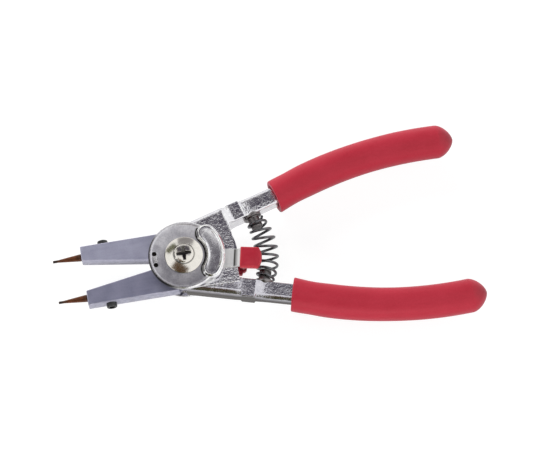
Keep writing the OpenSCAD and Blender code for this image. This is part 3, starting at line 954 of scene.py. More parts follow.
    def ears(self) -> Solid:
        """Front and rear ear plates from the hub's far side to the start of the web.

        The sheet's rim is rounded: b(1 - sin q) in at b(1 - cos q) down from each face.

        Returns:
            Both plates.
        """
        s = self.stations(-self.hub_radius * math.cos(self.hub_start), self.web_start - self.web_gap)
        b, q = self.edge_round, quarter(3)
        tight, wide = b * (1 - np.sin(q)), b * (1 - np.cos(q))
        depth = np.r_[b + SUPPORT, tight, wide, b + SUPPORT]
        down = np.r_[0, wide, self.sheet - tight, self.sheet]
        top = np.minimum(half_circle(self.hub_radius, s), self.edge_off)
        t = np.concatenate([top - depth, self.inner_edge(s) + depth[::-1]], axis=1)
        z = self.plate_height(s) - np.r_[down, down[::-1]]
        mask = np.tile(np.r_[0, np.ones(2 * len(q)), 0], 2)
        return carry(self.to_row(s, t, z), rim=mask) + carry(self.to_row(s, t, -z), rim=mask)

    def channel(self) -> Solid:
        """Channel section carried along the neck, whose lips roll in behind the panel until they meet.

        Half of the section runs up from the lip, over the rounding (r (1 - cos q), h - r (1 - sin q)), the
        flat, which slopes on the neck, and the outer bend to the web. The inside follows at the sheet's
        thickness, and the other half mirrors both. Where the section shuts, the lip drops from the sheet's
        edge to the middle plane and its rounding grows.

        Returns:
            The channel.
        """
        s = self.stations(self.web_start, self.neck_length + self.neck_lap)
        thick, b, out = self.sheet, self.edge_round, self.edge_off
        high, edge = self.plate_height(s), self.inner_edge(s)
        shut = smooth(s, self.ear_end + self.shut_run[0], self.ear_end + self.shut_run[1])
        past = smooth(s, self.panel_end + self.roll_run[0], self.neck_start + self.roll_run[1])
        on_panel = smooth(s, self.panel_start + self.panel_run[0], self.panel_start)
        on_panel = on_panel * (1 - smooth(s, self.panel_end, self.panel_end + self.panel_run[1]))
        inner_r = b + between(past, self.lip_round, self.roll - b) * shut
        outer_r = between(past, between(on_panel, self.corner, self.panel_corner), self.neck_corner)
        bowed = past * (self.side is Side.UPPER)
        lean = self.neck_slope * bowed
        lip, inner_high, outer_high = between(shut, high - thick + b, self.seam), high - lean, high + lean
        q, share = quarter(7)[None], np.linspace(-1, 1, 9)[None]
        flat = between((1 + share) / 2, edge + inner_r + SUPPORT, out - outer_r - SUPPORT)
        outer = columns(
            (edge, lip),
            (edge, (lip + inner_high - inner_r) / 2),
            (edge, inner_high - inner_r - self.fold_share * SUPPORT),
            (edge + inner_r * (1 - np.cos(q)), inner_high - inner_r * (1 - np.sin(q))),
            (flat, high + lean * share + self.neck_crown * bowed * (1 - share**2)),
            (out - outer_r * (1 - np.sin(q)), outer_high - outer_r * (1 - np.cos(q))),
            (out, outer_high - outer_r - SUPPORT),
        )
        small, low = np.clip(outer_r - thick, self.tightest, self.inside_round), high - thick
        fold = self.fold_share * b
        under = columns(
            (out - thick - small * (1 - np.cos(q)), low - small * (1 - np.sin(q))),
            (edge + between(shut, b + SUPPORT, thick), low),
            (edge + between(shut, b, thick), between(shut, low, self.seam)),
            (edge + between(shut, fold, thick / 2), between(shut, low + fold, self.seam)),
        )
        rear = (1, -1)
        loops = np.concatenate([outer, outer[:, ::-1] * rear, under[:, ::-1] * rear, under], axis=1)
        lip_count, bend_count = 3, q.size
        worn_and_highlight = np.r_[np.zeros(lip_count), np.ones(bend_count), np.zeros(share.size + bend_count + 1)]
        # Painted shade: on the lower handle the web darkens towards the shade colour
        web = np.r_[np.zeros(lip_count + bend_count + share.size), np.linspace(0, 1, bend_count) ** 2, 1.0]
        mask = worn_and_highlight * (1 - shut) - web * (self.side is Side.LOWER)
        mask = np.concatenate([mask, mask[:, ::-1], np.zeros((len(s), 2 * under.shape[1]))], axis=1)
        return carry(self.to_row(s, loops[..., 0], loops[..., 1]), rim=mask)

    def sleeve(self) -> Solid:
        """Round sleeve along an arc, with a lipped mouth cut square to the neck, slight waists and a nose.

        The nose follows (x / R)^p + (r / R)^p = 1, which is a ball for p = 2 and more pointed below it.
        Each loop is centre + r (out cos a + Z sin a); near the mouth its place along the arc is moved by
        r cos a tan(kick), which turns the mouth square to the neck.

        Returns:
            The sleeve.
        """
        kick = math.radians(self.grip_kick)
        mouth = np.array([self.neck_length, self.edge_off - self.neck_width / 2 + self.grip_shift])
        centre = mouth + self.grip_curve * np.array([math.sin(kick), -math.cos(kick)])
        length = self.grip_curve * math.radians(self.grip_turn)
        big, lip = self.grip_radius, self.grip_lip
        q = quarter(5)[::-1]
        rim = np.c_[lip * (1 - np.sin(q)), big - lip * (1 - np.cos(q))]
        v = np.linspace(lip + self.lip_gap, length, 90)
        waist = sum(depth * bell(v, place, width) for depth, place, width in self.waists)
        body = np.c_[v, big - waist * smooth(v, lip, self.waist_start)]
        q, blunt = quarter(21)[1:], 2 / self.nose_power
        nose = (big - self.nose_short) * np.sin(q) ** blunt
        end = np.c_[length + nose, big * np.maximum(np.cos(q), 0.0) ** blunt]
        profile = np.concatenate([self.grip_mouth, rim, body, end])
        v, r = profile[:, :1], profile[:, 1:]
        a = full_turn(96)
        square = r * np.cos(a) * math.tan(kick) * (1 - smooth(v, 0.0, self.grip_square))
        angle = math.pi / 2 + kick - np.minimum(v + square, length) / self.grip_curve
        over = np.maximum(v - length, 0.0)
        out_s, out_t = np.cos(angle), np.sin(angle)
        reach = self.grip_curve + r * np.cos(a)
        s = centre[0] + reach * out_s + over * out_t
        t = centre[1] + reach * out_t - over * out_s
        return carry(self.to_row(s, t, r * np.sin(a)))

    def spring_seat(self) -> Solid:
        """Turned peg and flange on a block in the neck's channel.

        Returns:
            The peg with its block.
        """
        seat_s = math.sqrt(self.coil_radius**2 - self.neck_in**2)
        p, f, back = self.peg_radius, self.seat_radius, self.seat_back
        end = -self.seat_thick - self.peg_length
        corners = [(0.0, back), (f - self.seat_taper, back), (f, 0.0), (f, -self.seat_thick)]
        corners += [(p, -self.seat_thick), (p, end), (0.0, end)]
        profile, rim = fillet(corners, self.seat_round, closed=False)
        turned = lathe(profile, rim, 64)
        x, y, z = turned.points.T
        turned.points = self.to_row(seat_s + x, self.neck_in + z, y)
        half = self.neck_half - self.sheet
        block = plate(rounded_box(*self.block_size, self.block_round)[0], -half, half, self.edge_round)
        x, y, z = block.points.T
        block.points = self.to_row(seat_s + x, self.neck_in + self.block_off + y, z)
        return turned + block

    def build(self) -> None:
        """Makes the channel, the sleeve and the spring seat."""
        word = self.side.word
        body = word + "_handle"
        # Painted shade: the lower handle takes the darker copy of the pressed nickel
        finish = PRESSED_NICKEL if self.side is Side.UPPER else SHADED_LOWER_NICKEL
        make_piece(word + "_channel", self.ears() + self.channel(), finish, body, [word + "_handle"])
        make_piece(word + "_sleeve", self.sleeve(), GRIP_VINYL, body, [word + "_grip"])
        make_piece(word + "_peg", self.spring_seat(), PEG_STEEL, body, [word + "_spring_seat"])


@dataclass
class ReturnSpring:
    """Coil spring bowed round the pivot, in two halves that meet on the middle line."""

    radius: float = 38.0
    half_angle: float = 22.32
    even: float = 0.72
    wire: float = 1.25
    end_diameter: float = 9.0
    middle_diameter: float = 11.2
    lean: float = 0.36
    lean_run: tuple[float, float, float, float] = (0.12, 0.5, 0.72, 0.96)
    turns: int = 8
    sides: int = 12
    steps: int = 44

    def swing(self, u: np.ndarray) -> np.ndarray:
        """Coil's angle about the pivot: A (e (2u - 1) - (1 - e) cos(pi u)), which closes up at the ends."""
        return np.radians(self.half_angle) * between(self.even, -np.cos(np.pi * u), 2 * u - 1)

    def line(self, u: np.ndarray) -> np.ndarray:
        """Wire's centre line: a helix about the coil's line, whose radius grows with sin(pi u).

        The loops lean: the front of each lies lower by lean times its height, most in the upper half.

        Args:
            u: Shares of the wire's length, from 0 at the lower end to 1.

        Returns:
            Points in millimetres.
        """
        width = self.end_diameter + (self.middle_diameter - self.end_diameter) * np.sin(np.pi * u)
        coil = (width - self.wire) / 2
        turn = 2 * np.pi * self.turns * u
        start, full, fade, end = self.lean_run
        lean = self.lean * smooth(u, start, full) * (1 - smooth(u, fade, end))
        angle = self.swing(u) - lean * coil * np.sin(turn) / self.radius
        reach = self.radius + coil * np.cos(turn)
        return np.stack([reach * np.cos(angle), reach * np.sin(angle), coil * np.sin(turn)], axis=-1)

    def wire_half(self, start: float, end: float) -> Solid:
        """Round wire carried along one half of the line.

        Each loop is line + r (n cos a + b sin a), where n points from the coil's middle and b completes
        the frame.

        Args:
            start: Share of the wire's length where the half starts.
            end: Share where it ends.

        Returns:
            The half.
        """
        u = np.linspace(start, end, self.steps * self.turns // 2 + 1)
        step = 5e-4
        tangent = unit(self.line(u + step) - self.line(u - step))
        point, angle = self.line(u), self.swing(u)
        middle = self.radius * np.stack([np.cos(angle), np.sin(angle), 0 * u], axis=1)
        side = unit(np.cross(tangent, point - middle))
        outward = np.cross(side, tangent)
        a = full_turn(self.sides)[..., None]
        ring = np.cos(a) * outward[:, None] + np.sin(a) * side[:, None]
        return carry(point[:, None] + self.wire / 2 * ring)

    def build(self) -> None:
        """Makes the lower and the upper half, each as its own piece on no body, with its place baked into its
        mesh.
        """
        for side, start, end in ((Side.LOWER, 0.0, 0.5), (Side.UPPER, 0.5, 1.0)):
            name = f"spring_{side.word}_half"
            half = make_piece(name, self.wire_half(start, end), SPRING_STEEL, None, ["return_spring"])
            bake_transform(half)


@dataclass
class Jaw:
    """A flat grey jaw with a half-lapped hub, its screwed-in tip and the set screw that holds it.

    The edges of the set screw and of its socket are rows of the distance from the round or the hexagon, the
    depth below the screw's face, and the wear.
    """

    side: Side
    reach: float = 46.5
    outer: float = 14.3
    opening: float = 9.0
    step: float = 4.6
    hub: float = 13.0
    hub_clear: float = 0.6
    hub_sunk: float = 0.02
    hub_round: float = 0.2
    lap_gap: float = 0.05
    neck_reach: float = 9.0
    neck_inset: float = 0.05
    neck_clear: float = 0.4
    neck_short: float = 1.0
    neck_root: tuple[float, float] = (-2.0, 1.0)
    edge_round: float = 0.35
    end_round: float = 0.5
    hollow_lead: float = 2.0
    tip_off: float = 10.0
    tip_radius: float = 1.65
    tip_taper: float = 10.8
    tip_shoulder: float = 0.9
    tip_start: float = 0.2
    tip_slack: float = 0.03
    tip_round: float = 0.25
    nib_radius: float = 0.6
    nib_length: float = 2.4
    tip_seat: float = 14.0
    set_back: float = 10.5
    set_radius: float = 2.4
    set_proud: float = 2.0
    set_foot: float = 0.4
    set_edge: Sequence[Sequence[float]] = ((0, 0.45, 1), (0.1, 0.15, 1), (0.35, 0, 1), (0.45, 0, 0))
    socket: float = 2.4
    socket_deep: float = 2.2
    socket_edge: Sequence[Sequence[float]] = ((0.16, 0, 1), (0.04, 0.05, 1), (0, 0.2, 0), (0, 1.7, 0))

    @property
    def lean(self) -> float:
        """Slope of the inner face, on a line through the pivot."""
        return math.tan(math.radians(self.opening))

    def flip(self, solid: Solid) -> Solid:
        """Turns an upper piece about X into the lower one."""
        return solid if self.side is Side.UPPER else solid.placed(scale=(1, -1, -1))

    def blade(self) -> Solid:
        """Blade with its inner face on a line through the pivot and a hollow end round the other hub.

        Returns:
            The blade.
        """
        clear = self.hub + self.hub_clear
        top = math.sqrt(clear**2 - self.step**2)
        hollow = arc(clear, 180 - self.opening, math.degrees(math.atan2(top, -self.step)), 24)
        corners = [(-self.step, self.outer), (-self.reach, self.outer), (-self.reach, self.reach * self.lean)]
        before_hollow = hollow[0] + self.hollow_lead * np.array([-1, self.lean])
        edge, _ = fillet([*corners, before_hollow], self.end_round, closed=False)
        return plate(np.concatenate([edge, hollow]), -STACK.jaw, STACK.jaw, self.edge_round)

    def hub_plate(self) -> Solid:
        """Half-thick hub in the upper half of the stack, with the neck that joins it to the blade.

        Returns:
            The hub and its neck.
        """
        low, high = self.lap_gap, STACK.jaw - self.hub_sunk
        points = 120
        disc = plate(arc(self.hub, 0, 360 - 360 / points, points), low, high, self.hub_round)
        far, top = -self.step - self.neck_reach, self.outer - self.neck_inset
        (x, y), across = self.neck_root, self.hub - self.neck_short
        neck = [(far, -far * self.lean + self.neck_clear), (x, y), (x, across), (-self.step, top), (far, top)]
        return disc + plate(np.array(neck), low, high, self.hub_round / 2)

    def tip(self) -> Solid:
        """Turned tip: shank in the jaw, a short shoulder, a long taper and a round-ended nib.

        Returns:
            The tip.
        """
        shank, nib, start = self.tip_radius, self.nib_radius, self.tip_start
        taper = self.tip_seat + self.tip_taper
        end = taper + self.nib_length
        corners = [(0, start), (shank, start), (shank, self.tip_seat + self.tip_shoulder)]
        profile, rim = fillet([*corners, (nib, taper), (nib, end), (0, end)], self.tip_round, closed=False)
        turned = on_x(lathe(profile, rim, 48))
        return turned.placed(shift=(self.tip_seat - self.reach - self.tip_slack, self.tip_off, 0))

    def set_screw(self) -> Solid:
        """Screw with a hexagon socket: round rings outside, and rings that follow the hexagon inside.

        The hexagon's radius is half its width across flats over cos of the angle from the nearest flat.

        Returns:
            The set screw.
        """
        a, r, foot = full_turn(96), self.set_radius, self.set_foot
        hexagon = (self.socket / 2) / np.cos((a + np.pi / 6) % (np.pi / 3) - np.pi / 6)
        top = self.outer + self.set_proud - self.tip_off - self.tip_radius
        edge = np.array(self.set_edge) * (-1, -1, 1) + (r, top, 0)
        outside = np.concatenate([[(0, 0, 0), (r - foot, 0, 0), (r, foot, 0)], edge])
        inside = np.array(self.socket_edge) * (1, -1, 1) + (0, top, 0)
        bottom = np.array([(0, top - self.socket_deep, 0)])
        radius = np.concatenate([outside[:, :1] + 0 * a, inside[:, :1] + hexagon, bottom[:, :1] + 0 * a])
        rows = np.concatenate([outside, inside, bottom])
        turned = on_y(carry(rings(radius, rows[:, 1:2], a), rim=rows[:, 2:]))
        return turned.placed(shift=(self.set_back - self.reach, self.tip_off + self.tip_radius, 0))

    def build(self) -> None:
        """Makes the jaw, its tip and its set screw."""
        body = self.side.word + "_jaw"
        # Painted shade: the lower jaw takes the darker copy of the jaw steel
        steel = JAW_STEEL if self.side is Side.UPPER else SHADED_LOWER_JAW_STEEL
        for name, solid, finish, node in (
            ("blade", self.blade() + self.hub_plate(), steel, "jaw"),
            ("point", self.tip(), TIP_COPPER, "tip"),
            ("grub_screw", self.set_screw(), BLACK_OXIDE, "set_screw"),
        ):
            word = self.side.word + "_"
            make_piece(word + name, self.flip(solid), finish, body, [word + node])


@dataclass
class Cover:
    """Stamped cover: a round plate with a kidney-shaped bead round a sunk floor, relief holes and a tab.

    The dark lines of painted shade are given by their strength, their distance from the edge and their width.
    """

    front: bool
    radius: float = 16.3
    bore: float = 4.2
    rear_radius: float = 12.6
    meet_round: float = 0.35
    orbit: float = 14.35
    kidney_half: float = 4.45
    kidney_span: float = 37.0
    wall: float = 1.3
    pocket_in: float = 0.7
    pocket_short: float = 0.1
    floor_half: float = 2.6
    floor_deep: float = 0.55
    rear_floor_deep: float = 0.15
    floor_run: tuple[float, float] = (-0.55, 0.35)
    bowl: tuple[float, float] = (0.35, 0.6)
    bowl_end: float = 1.1
    bowl_least: float = 0.05
    rim_chamfer: float = 0.6
    rim_round: float = 0.12
    rim_flat: float = 0.1
    rim_lap: float = 0.02
    # Strength of the painted shade on the rim
    rim_painted_shade: float = 1.9
    low_round: float = 0.15
    # Angle, half span and fade of the rim's painted shade
    shaded_from: float = 190.0
    shaded_span: float = 60.0
    shaded_fade: float = 15.0
    dish: float = 0.7
    dish_start: float = 6.5
    border: float = 1.35
    border_rise: float = 0.12
    border_soft: float = 0.2
    hole_off: float = 13.3
    hole_side: float = 2.7
    hole_radius: float = 1.0
    hole_deep: float = 0.9
    hole_run: tuple[float, float] = (-0.08, 0.10)
    tab_half: float = 1.5
    tab_deep: float = 0.5
    tab_run: float = 1.1
    tab_past: float = 0.2
    tab_soft: float = 0.1
    tab_turn: tuple[float, float, int] = (160, 200, 141)
    # Strength of the painted highlight on the kidney's bead and tab, and on its floor
    bright: float = 1.5
    floor_painted_highlight: float = 0.8
    foot_line: tuple[float, float, float] = (1.7, 0.05, 0.42)
    floor_line: tuple[float, float, float] = (0.7, -0.2, 0.22)
    radial: Sequence[tuple[float, float, int]] = ((0, 0.56, 24), (0.56, 0.96, 52), (0.96, 1, 6))

    @property
    def emboss(self) -> float:
        """Height of the kidney above the plate's flat."""
        return (STACK.emboss_top if self.front else STACK.rear_emboss_top) - STACK.cover_top

    def from_kidney(self, x: np.ndarray, y: np.ndarray) -> np.ndarray:
        """Distance from the kidney's centre line: an arc of the orbit with its two end points.

        Args:
            x: Places along X.
            y: Places along Y.

        Returns:
            Distances in millimetres.
        """
        span = math.radians(self.kidney_span)
        held = np.clip(np.arctan2(y, x), -span, span)
        return np.hypot(x - self.orbit * np.cos(held), y - self.orbit * np.sin(held))

    def from_hole(self, x: np.ndarray, y: np.ndarray) -> np.ndarray:
        """Distance from the middle of the nearer relief hole."""
        return np.hypot(x + self.hole_off, np.abs(y) - self.hole_side)

    def outline(self, a: np.ndarray) -> np.ndarray:
        """Radius of the outline: the larger of the disc and the kidney, blended softly where they meet.

        The kidney's radius is orbit cos b + sqrt(half^2 - (orbit sin b)^2) at the angle b past its span.

        Args:
            a: Angles about the pivot.

        Returns:
            Radii in millimetres.
        """
        beyond = np.maximum(np.abs(a) - math.radians(self.kidney_span), 0.0)
        inside = self.kidney_half**2 - (self.orbit * np.sin(beyond)) ** 2
        kidney = self.orbit * np.cos(beyond) + np.sqrt(np.maximum(inside, 0.0))
        kidney = np.where((inside > 0) & (beyond < np.pi / 5), kidney, 0.0)
        blend, disc = self.meet_round, self.radius if self.front else self.rear_radius
        gap = np.maximum(blend - np.abs(kidney - disc), 0.0)
        return np.maximum(kidney, disc) + gap * gap / (4 * blend)

    def top(self, x: np.ndarray, y: np.ndarray) -> np.ndarray:
        """Height of the upper face over the flat: bead and floor by the distance from the kidney's line.

        The front cover also has a dish that rises as the square of the radius, a border, holes and a tab.

        Args:
            x: Places along X.
            y: Places along Y.

        Returns:
            Heights in millimetres.
        """
        d, r = self.from_kidney(x, y), np.hypot(x, y)
        wall = smooth(-d, -self.kidney_half, -self.kidney_half + self.wall)
        floor = smooth(-d, self.floor_run[0] - self.floor_half, self.floor_run[1] - self.floor_half)
        along = np.clip(np.abs(np.arctan2(y, x)) / math.radians(self.kidney_span), 0, self.bowl_end)
        bowl = 1 - self.bowl[0] * np.clip(d / self.floor_half, 0, 1) ** 2 - self.bowl[1] * along**2
        deep = self.floor_deep if self.front else self.rear_floor_deep
        height = self.emboss * wall - deep * floor * np.maximum(bowl, self.bowl_least)
        if not self.front:
            return height
        out = np.clip((r - self.dish_start) / (self.radius - self.dish_start), 0, 1)
        border, soft = self.radius - self.border, self.border_soft
        raised = self.dish * out**2 + self.border_rise * smooth(r, border - soft, border + soft)
        edges = self.hole_run[0] - self.hole_radius, self.hole_run[1] - self.hole_radius
        hole = smooth(-self.from_hole(x, y), *edges)
        tab = smooth(-np.abs(y), -self.tab_half - self.tab_soft, -self.tab_half + self.tab_soft) * (x < 0)
        slope = np.clip((self.tab_run - x - self.hole_off) / (2 * self.tab_run), 0, 1)
        bent = self.tab_deep * tab * slope * (x > -self.hole_off - self.tab_run - self.tab_past)
        return height + raised * (1 - wall) - self.hole_deep * hole - bent

    def under(self, x: np.ndarray, y: np.ndarray) -> np.ndarray:
        """Height of the under face over its flat: the pocket that holds the pin heads."""
        edges = self.pocket_in - self.kidney_half, self.wall - self.kidney_half
        return (self.emboss - self.pocket_short) * smooth(-self.from_kidney(x, y), *edges)

    def wear(
        self, mask: np.ndarray, r: np.ndarray, a: np.ndarray, limit: np.ndarray, strip: float
    ) -> np.ndarray:
        """Front cover's wear and painted light: a painted highlight on the kidney and tab, and painted shade
        in dark lines at its foot and floor, on the rim's left side and in the relief holes.

        Args:
            mask: Wear of the rim alone.
            r: Radii of the profiles' points.
            a: Angle of each profile.
            limit: Radius of the outline at each angle.
            strip: Width of the rim.

        Returns:
            The mask: above 0 on worn rims and painted highlights, and below 0 on painted shade.
        """
        x, y = r * np.cos(a), r * np.sin(a)
        away, inside = self.from_kidney(x, y), r < limit - strip
        # Painted highlight: the kidney's bead and sunk floor are made lighter and glossier than the plate
        bright = np.where(away > self.floor_half, self.bright, self.floor_painted_highlight)
        mask = np.where(inside & (away < self.kidney_half - self.tab_soft), bright, mask)
        # Painted shade: dark lines at the foot of the kidney's inner wall and round its sunk floor
        strong, off, width = self.foot_line
        lines = strong * bell(away, self.kidney_half + off, width) * (r < self.orbit)
        strong, off, width = self.floor_line
        lines = lines + strong * bell(away, self.floor_half + off, width)
        mask = np.where(inside, mask - lines, mask)
        # Painted shade: the rim is darkened on its left side, from upper left to lower left, fading out round
        # the turn
        turned = np.abs((np.degrees(a) - self.shaded_from + 180) % 360 - 180)
        fade = smooth(turned, self.shaded_span - self.shaded_fade, self.shaded_span + self.shaded_fade)
        rim = r > limit - self.rim_chamfer - self.rim_lap
        mask = np.where(rim, mask - self.rim_painted_shade * (1 - fade), mask)
        # Painted highlight on the bent tab
        on_tab = np.abs(x + self.hole_off) < self.tab_run + self.tab_soft
        mask = np.where(inside & on_tab & (np.abs(y) < self.tab_half), self.bright, mask)
        # Painted shade: the relief holes, which are shallow pits, take the shade colour
        return np.where(self.from_hole(x, y) < self.hole_radius + self.rim_lap, -1.0, mask)

    def shell(self) -> Solid:
        """Closed radial profiles carried round the pivot: upper face, rounded rim, under face and bore.

        Returns:
            The cover.
        """
        a = np.unique(np.round(np.r_[np.arange(360), np.linspace(*self.tab_turn)], 3))
        a = np.radians((a + 180) % 360 - 180)[:, None]
        limit = self.outline(a)
        share = np.unique(np.round(stretches(self.radial), 4))[None]
        c, flat = self.rim_chamfer, self.rim_flat
        edge, _ = fillet([(c + flat, 0), (c, 0), (0, c), (0, c + flat)], self.rim_round, closed=False)
        strip = c + flat + SUPPORT
        r_top = self.bore + (limit - strip - self.bore) * share
        r_low = self.bore + (limit - self.low_round - self.bore) * share[:, ::-3]
        r = np.concatenate([r_top, limit - edge[None, :, 0], limit, r_low], axis=1)
        x, y = r * np.cos(a), r * np.sin(a)
        rim, low = r_top.shape[1], r_top.shape[1] + len(edge)
        upper = STACK.cover_top + self.top(x[:, :rim], y[:, :rim])
        corner = np.full_like(limit, STACK.cover_low + self.low_round)
        lower = STACK.cover_low + self.under(x[:, low + 1 :], y[:, low + 1 :])
        z = np.concatenate([upper, upper[:, -1:] - edge[None, :, 1], corner, lower], axis=1)
        mask = np.zeros_like(r)
        mask[:, rim - 1 : low] = 1
        if self.front:
            mask = self.wear(mask, r, a, limit, strip)
        solid = carry(np.stack([x, y, z], axis=-1), wrap=True, rim=mask)
        return solid if self.front else solid.placed(scale=(1, -1, -1))

    def build(self) -> None:
        """Makes the cover as one piece."""
        word = "front" if self.front else "rear"
        make_piece(word + "_stamped_cover", self.shell(), SATIN_NICKEL, "pivot", [word + "_cover"])


@dataclass
class Pivot:
    """Pivot post with its rest flange, the domed washer and the crossed-slot screw.

    The lips of the washer and of the screw's head are rows of the distances in and down from the upper edge,
    and their feet are rows of the distances out and up from the lower edge.
    """

    post_radius: float = 4.0
    flange_radius: float = 7.5
    flange_thick: float = 1.0
    dimple: tuple[float, float] = (1.6, 2.2)
    dimple_deep: float = 0.45
    post_round: float = 0.25
    thread_radius: float = 2.4
    thread_length: float = 4.0
    thread_slack: float = 0.06
    dome_radius: float = 8.8
    dome_rim: float = 0.5
    dome_cut: float = 0.46
    dome_border: float = 0.12
    dome_lip: Sequence[tuple[float, float]] = ((0.03, 0.05), (0, 0.18))
    dome_foot: Sequence[tuple[float, float]] = ((0, 0.08), (-0.08, 0))
    # Strength of the painted shade at the washer's rim edge
    dome_painted_shade: float = -0.7
    head_radius: float = 4.6
    head_lap: float = 1.2
    head_drop: float = 0.55
    head_power: float = 2.4
    head_start: float = 0.05
    head_border: float = 0.5
    head_lip: Sequence[tuple[float, float]] = ((0.28, 0.62), (0.10, 0.80), (0, 1.02))
    head_foot: Sequence[tuple[float, float]] = ((0, 0.12), (-0.12, 0))
    slot_half: float = 0.95
    slot_taper: float = 0.12
    slot_reach: float = 3.3
    slot_deep: float = 1.0
    slot_fade: float = 0.55
    slot_run: tuple[float, float] = (-0.10, 0.16)
    # Strength and width of the painted shade round the screw's head and in its slot
    painted_shade: float = -0.9
    painted_shade_width: float = 0.35

    def post(self) -> Solid:
        """Turned post with a chamfered flange and a shallow dimple at the rear.

        Returns:
            The post.
        """
        top, flange, post = STACK.cover_top, self.flange_radius, self.post_radius
        rear = -top - self.flange_thick
        floor = rear + self.dimple_deep
        corners = [(0, floor), (self.dimple[0], floor), (self.dimple[1], rear), (flange, rear)]
        corners += [(flange, -top), (post, -top), (post, top), (0, top)]
        return lathe(*fillet(corners, self.post_round, closed=False))

    def dome(self) -> Solid:
        """Washer cut from a ball: height crown - (ball - sqrt(ball^2 - r^2)) out to the rim, on a flat base.

        Returns:
            The washer, with painted shade round the screw's head and at its rim.
        """
        low, top, big = STACK.cover_top, STACK.dome_top, self.dome_radius
        crown, rim = top + self.dome_cut, low + self.dome_rim
        ball = (big**2 + (crown - rim) ** 2) / (2 * (crown - rim))
        r = np.linspace(self.head_radius - self.head_lap, big - self.dome_border, 26)
        face = np.stack([r, np.minimum(crown - (ball - np.sqrt(ball**2 - r**2)), top)], axis=1)
        edge = np.concatenate([np.subtract((big, rim), self.dome_lip), np.add((big, low), self.dome_foot)])
        bore = self.thread_radius + self.thread_slack
        ends = [(bore, low), (bore, top)]
        # Painted shade: a dark ring round the screw's head, and a dark rim edge
        near = self.painted_shade * bell(r, self.head_radius, self.painted_shade_width)
        mask = np.r_[near, np.full(len(edge), self.dome_painted_shade), np.zeros(len(ends))]
        return lathe(np.concatenate([face, edge, ends]), mask, 128, wrap=True)

    def screw(self) -> Solid:
        """Domed head with a crossed slot: the slot's depth fades from the middle to the arms' ends.

        The head drops by d (r / R)^p. A point is in an arm where its distance across is under the arm's half
        width, which tapers outwards, and its distance along is under the arm's reach.

        Returns:
            The screw.
        """
        a, big, low, top = full_turn(288), self.head_radius, STACK.dome_top, STACK.screw_top
        r = np.r_[0.0, np.linspace(self.head_start, big - self.head_border, 58)][:, None]
        x, y = np.abs(r * np.cos(a)), np.abs(r * np.sin(a))
        arm_x = np.maximum(y - self.slot_half * (1 - self.slot_taper * x), x - self.slot_reach)
        arm_y = np.maximum(x - self.slot_half * (1 - self.slot_taper * y), y - self.slot_reach)
        inside = smooth(-np.minimum(arm_x, arm_y), *self.slot_run)
        deep = self.slot_deep * inside * (1 - self.slot_fade * (r / self.slot_reach) ** 2)
        face = rings(r, top - self.head_drop * (r / big) ** self.head_power - deep, a)
        lip, foot = np.subtract((big, top), self.head_lip), np.add((big, low), self.head_foot)
        thread, end = self.thread_radius, low - self.thread_length
        side = np.concatenate([lip, foot, [(thread, low), (thread, end), (0.0, end)]])
        # Painted shade in the crossed slot
        mask = np.concatenate([self.painted_shade * inside, np.zeros((len(side), a.size))])
        return carry(np.concatenate([face, rings(side[:, :1], side[:, 1:], a)]), rim=mask)

    def build(self) -> None:
        """Makes the post, the washer and the screw."""
        make_piece("pivot_flange_post", self.post(), SATIN_NICKEL, "pivot", ["pivot_post"])
        make_piece("domed_washer", self.dome(), BRIGHT_NICKEL, "pivot", ["dome_washer"])
        make_piece("crossed_slot_screw", self.screw(), BRIGHT_NICKEL, "pivot", ["pivot_screw"])


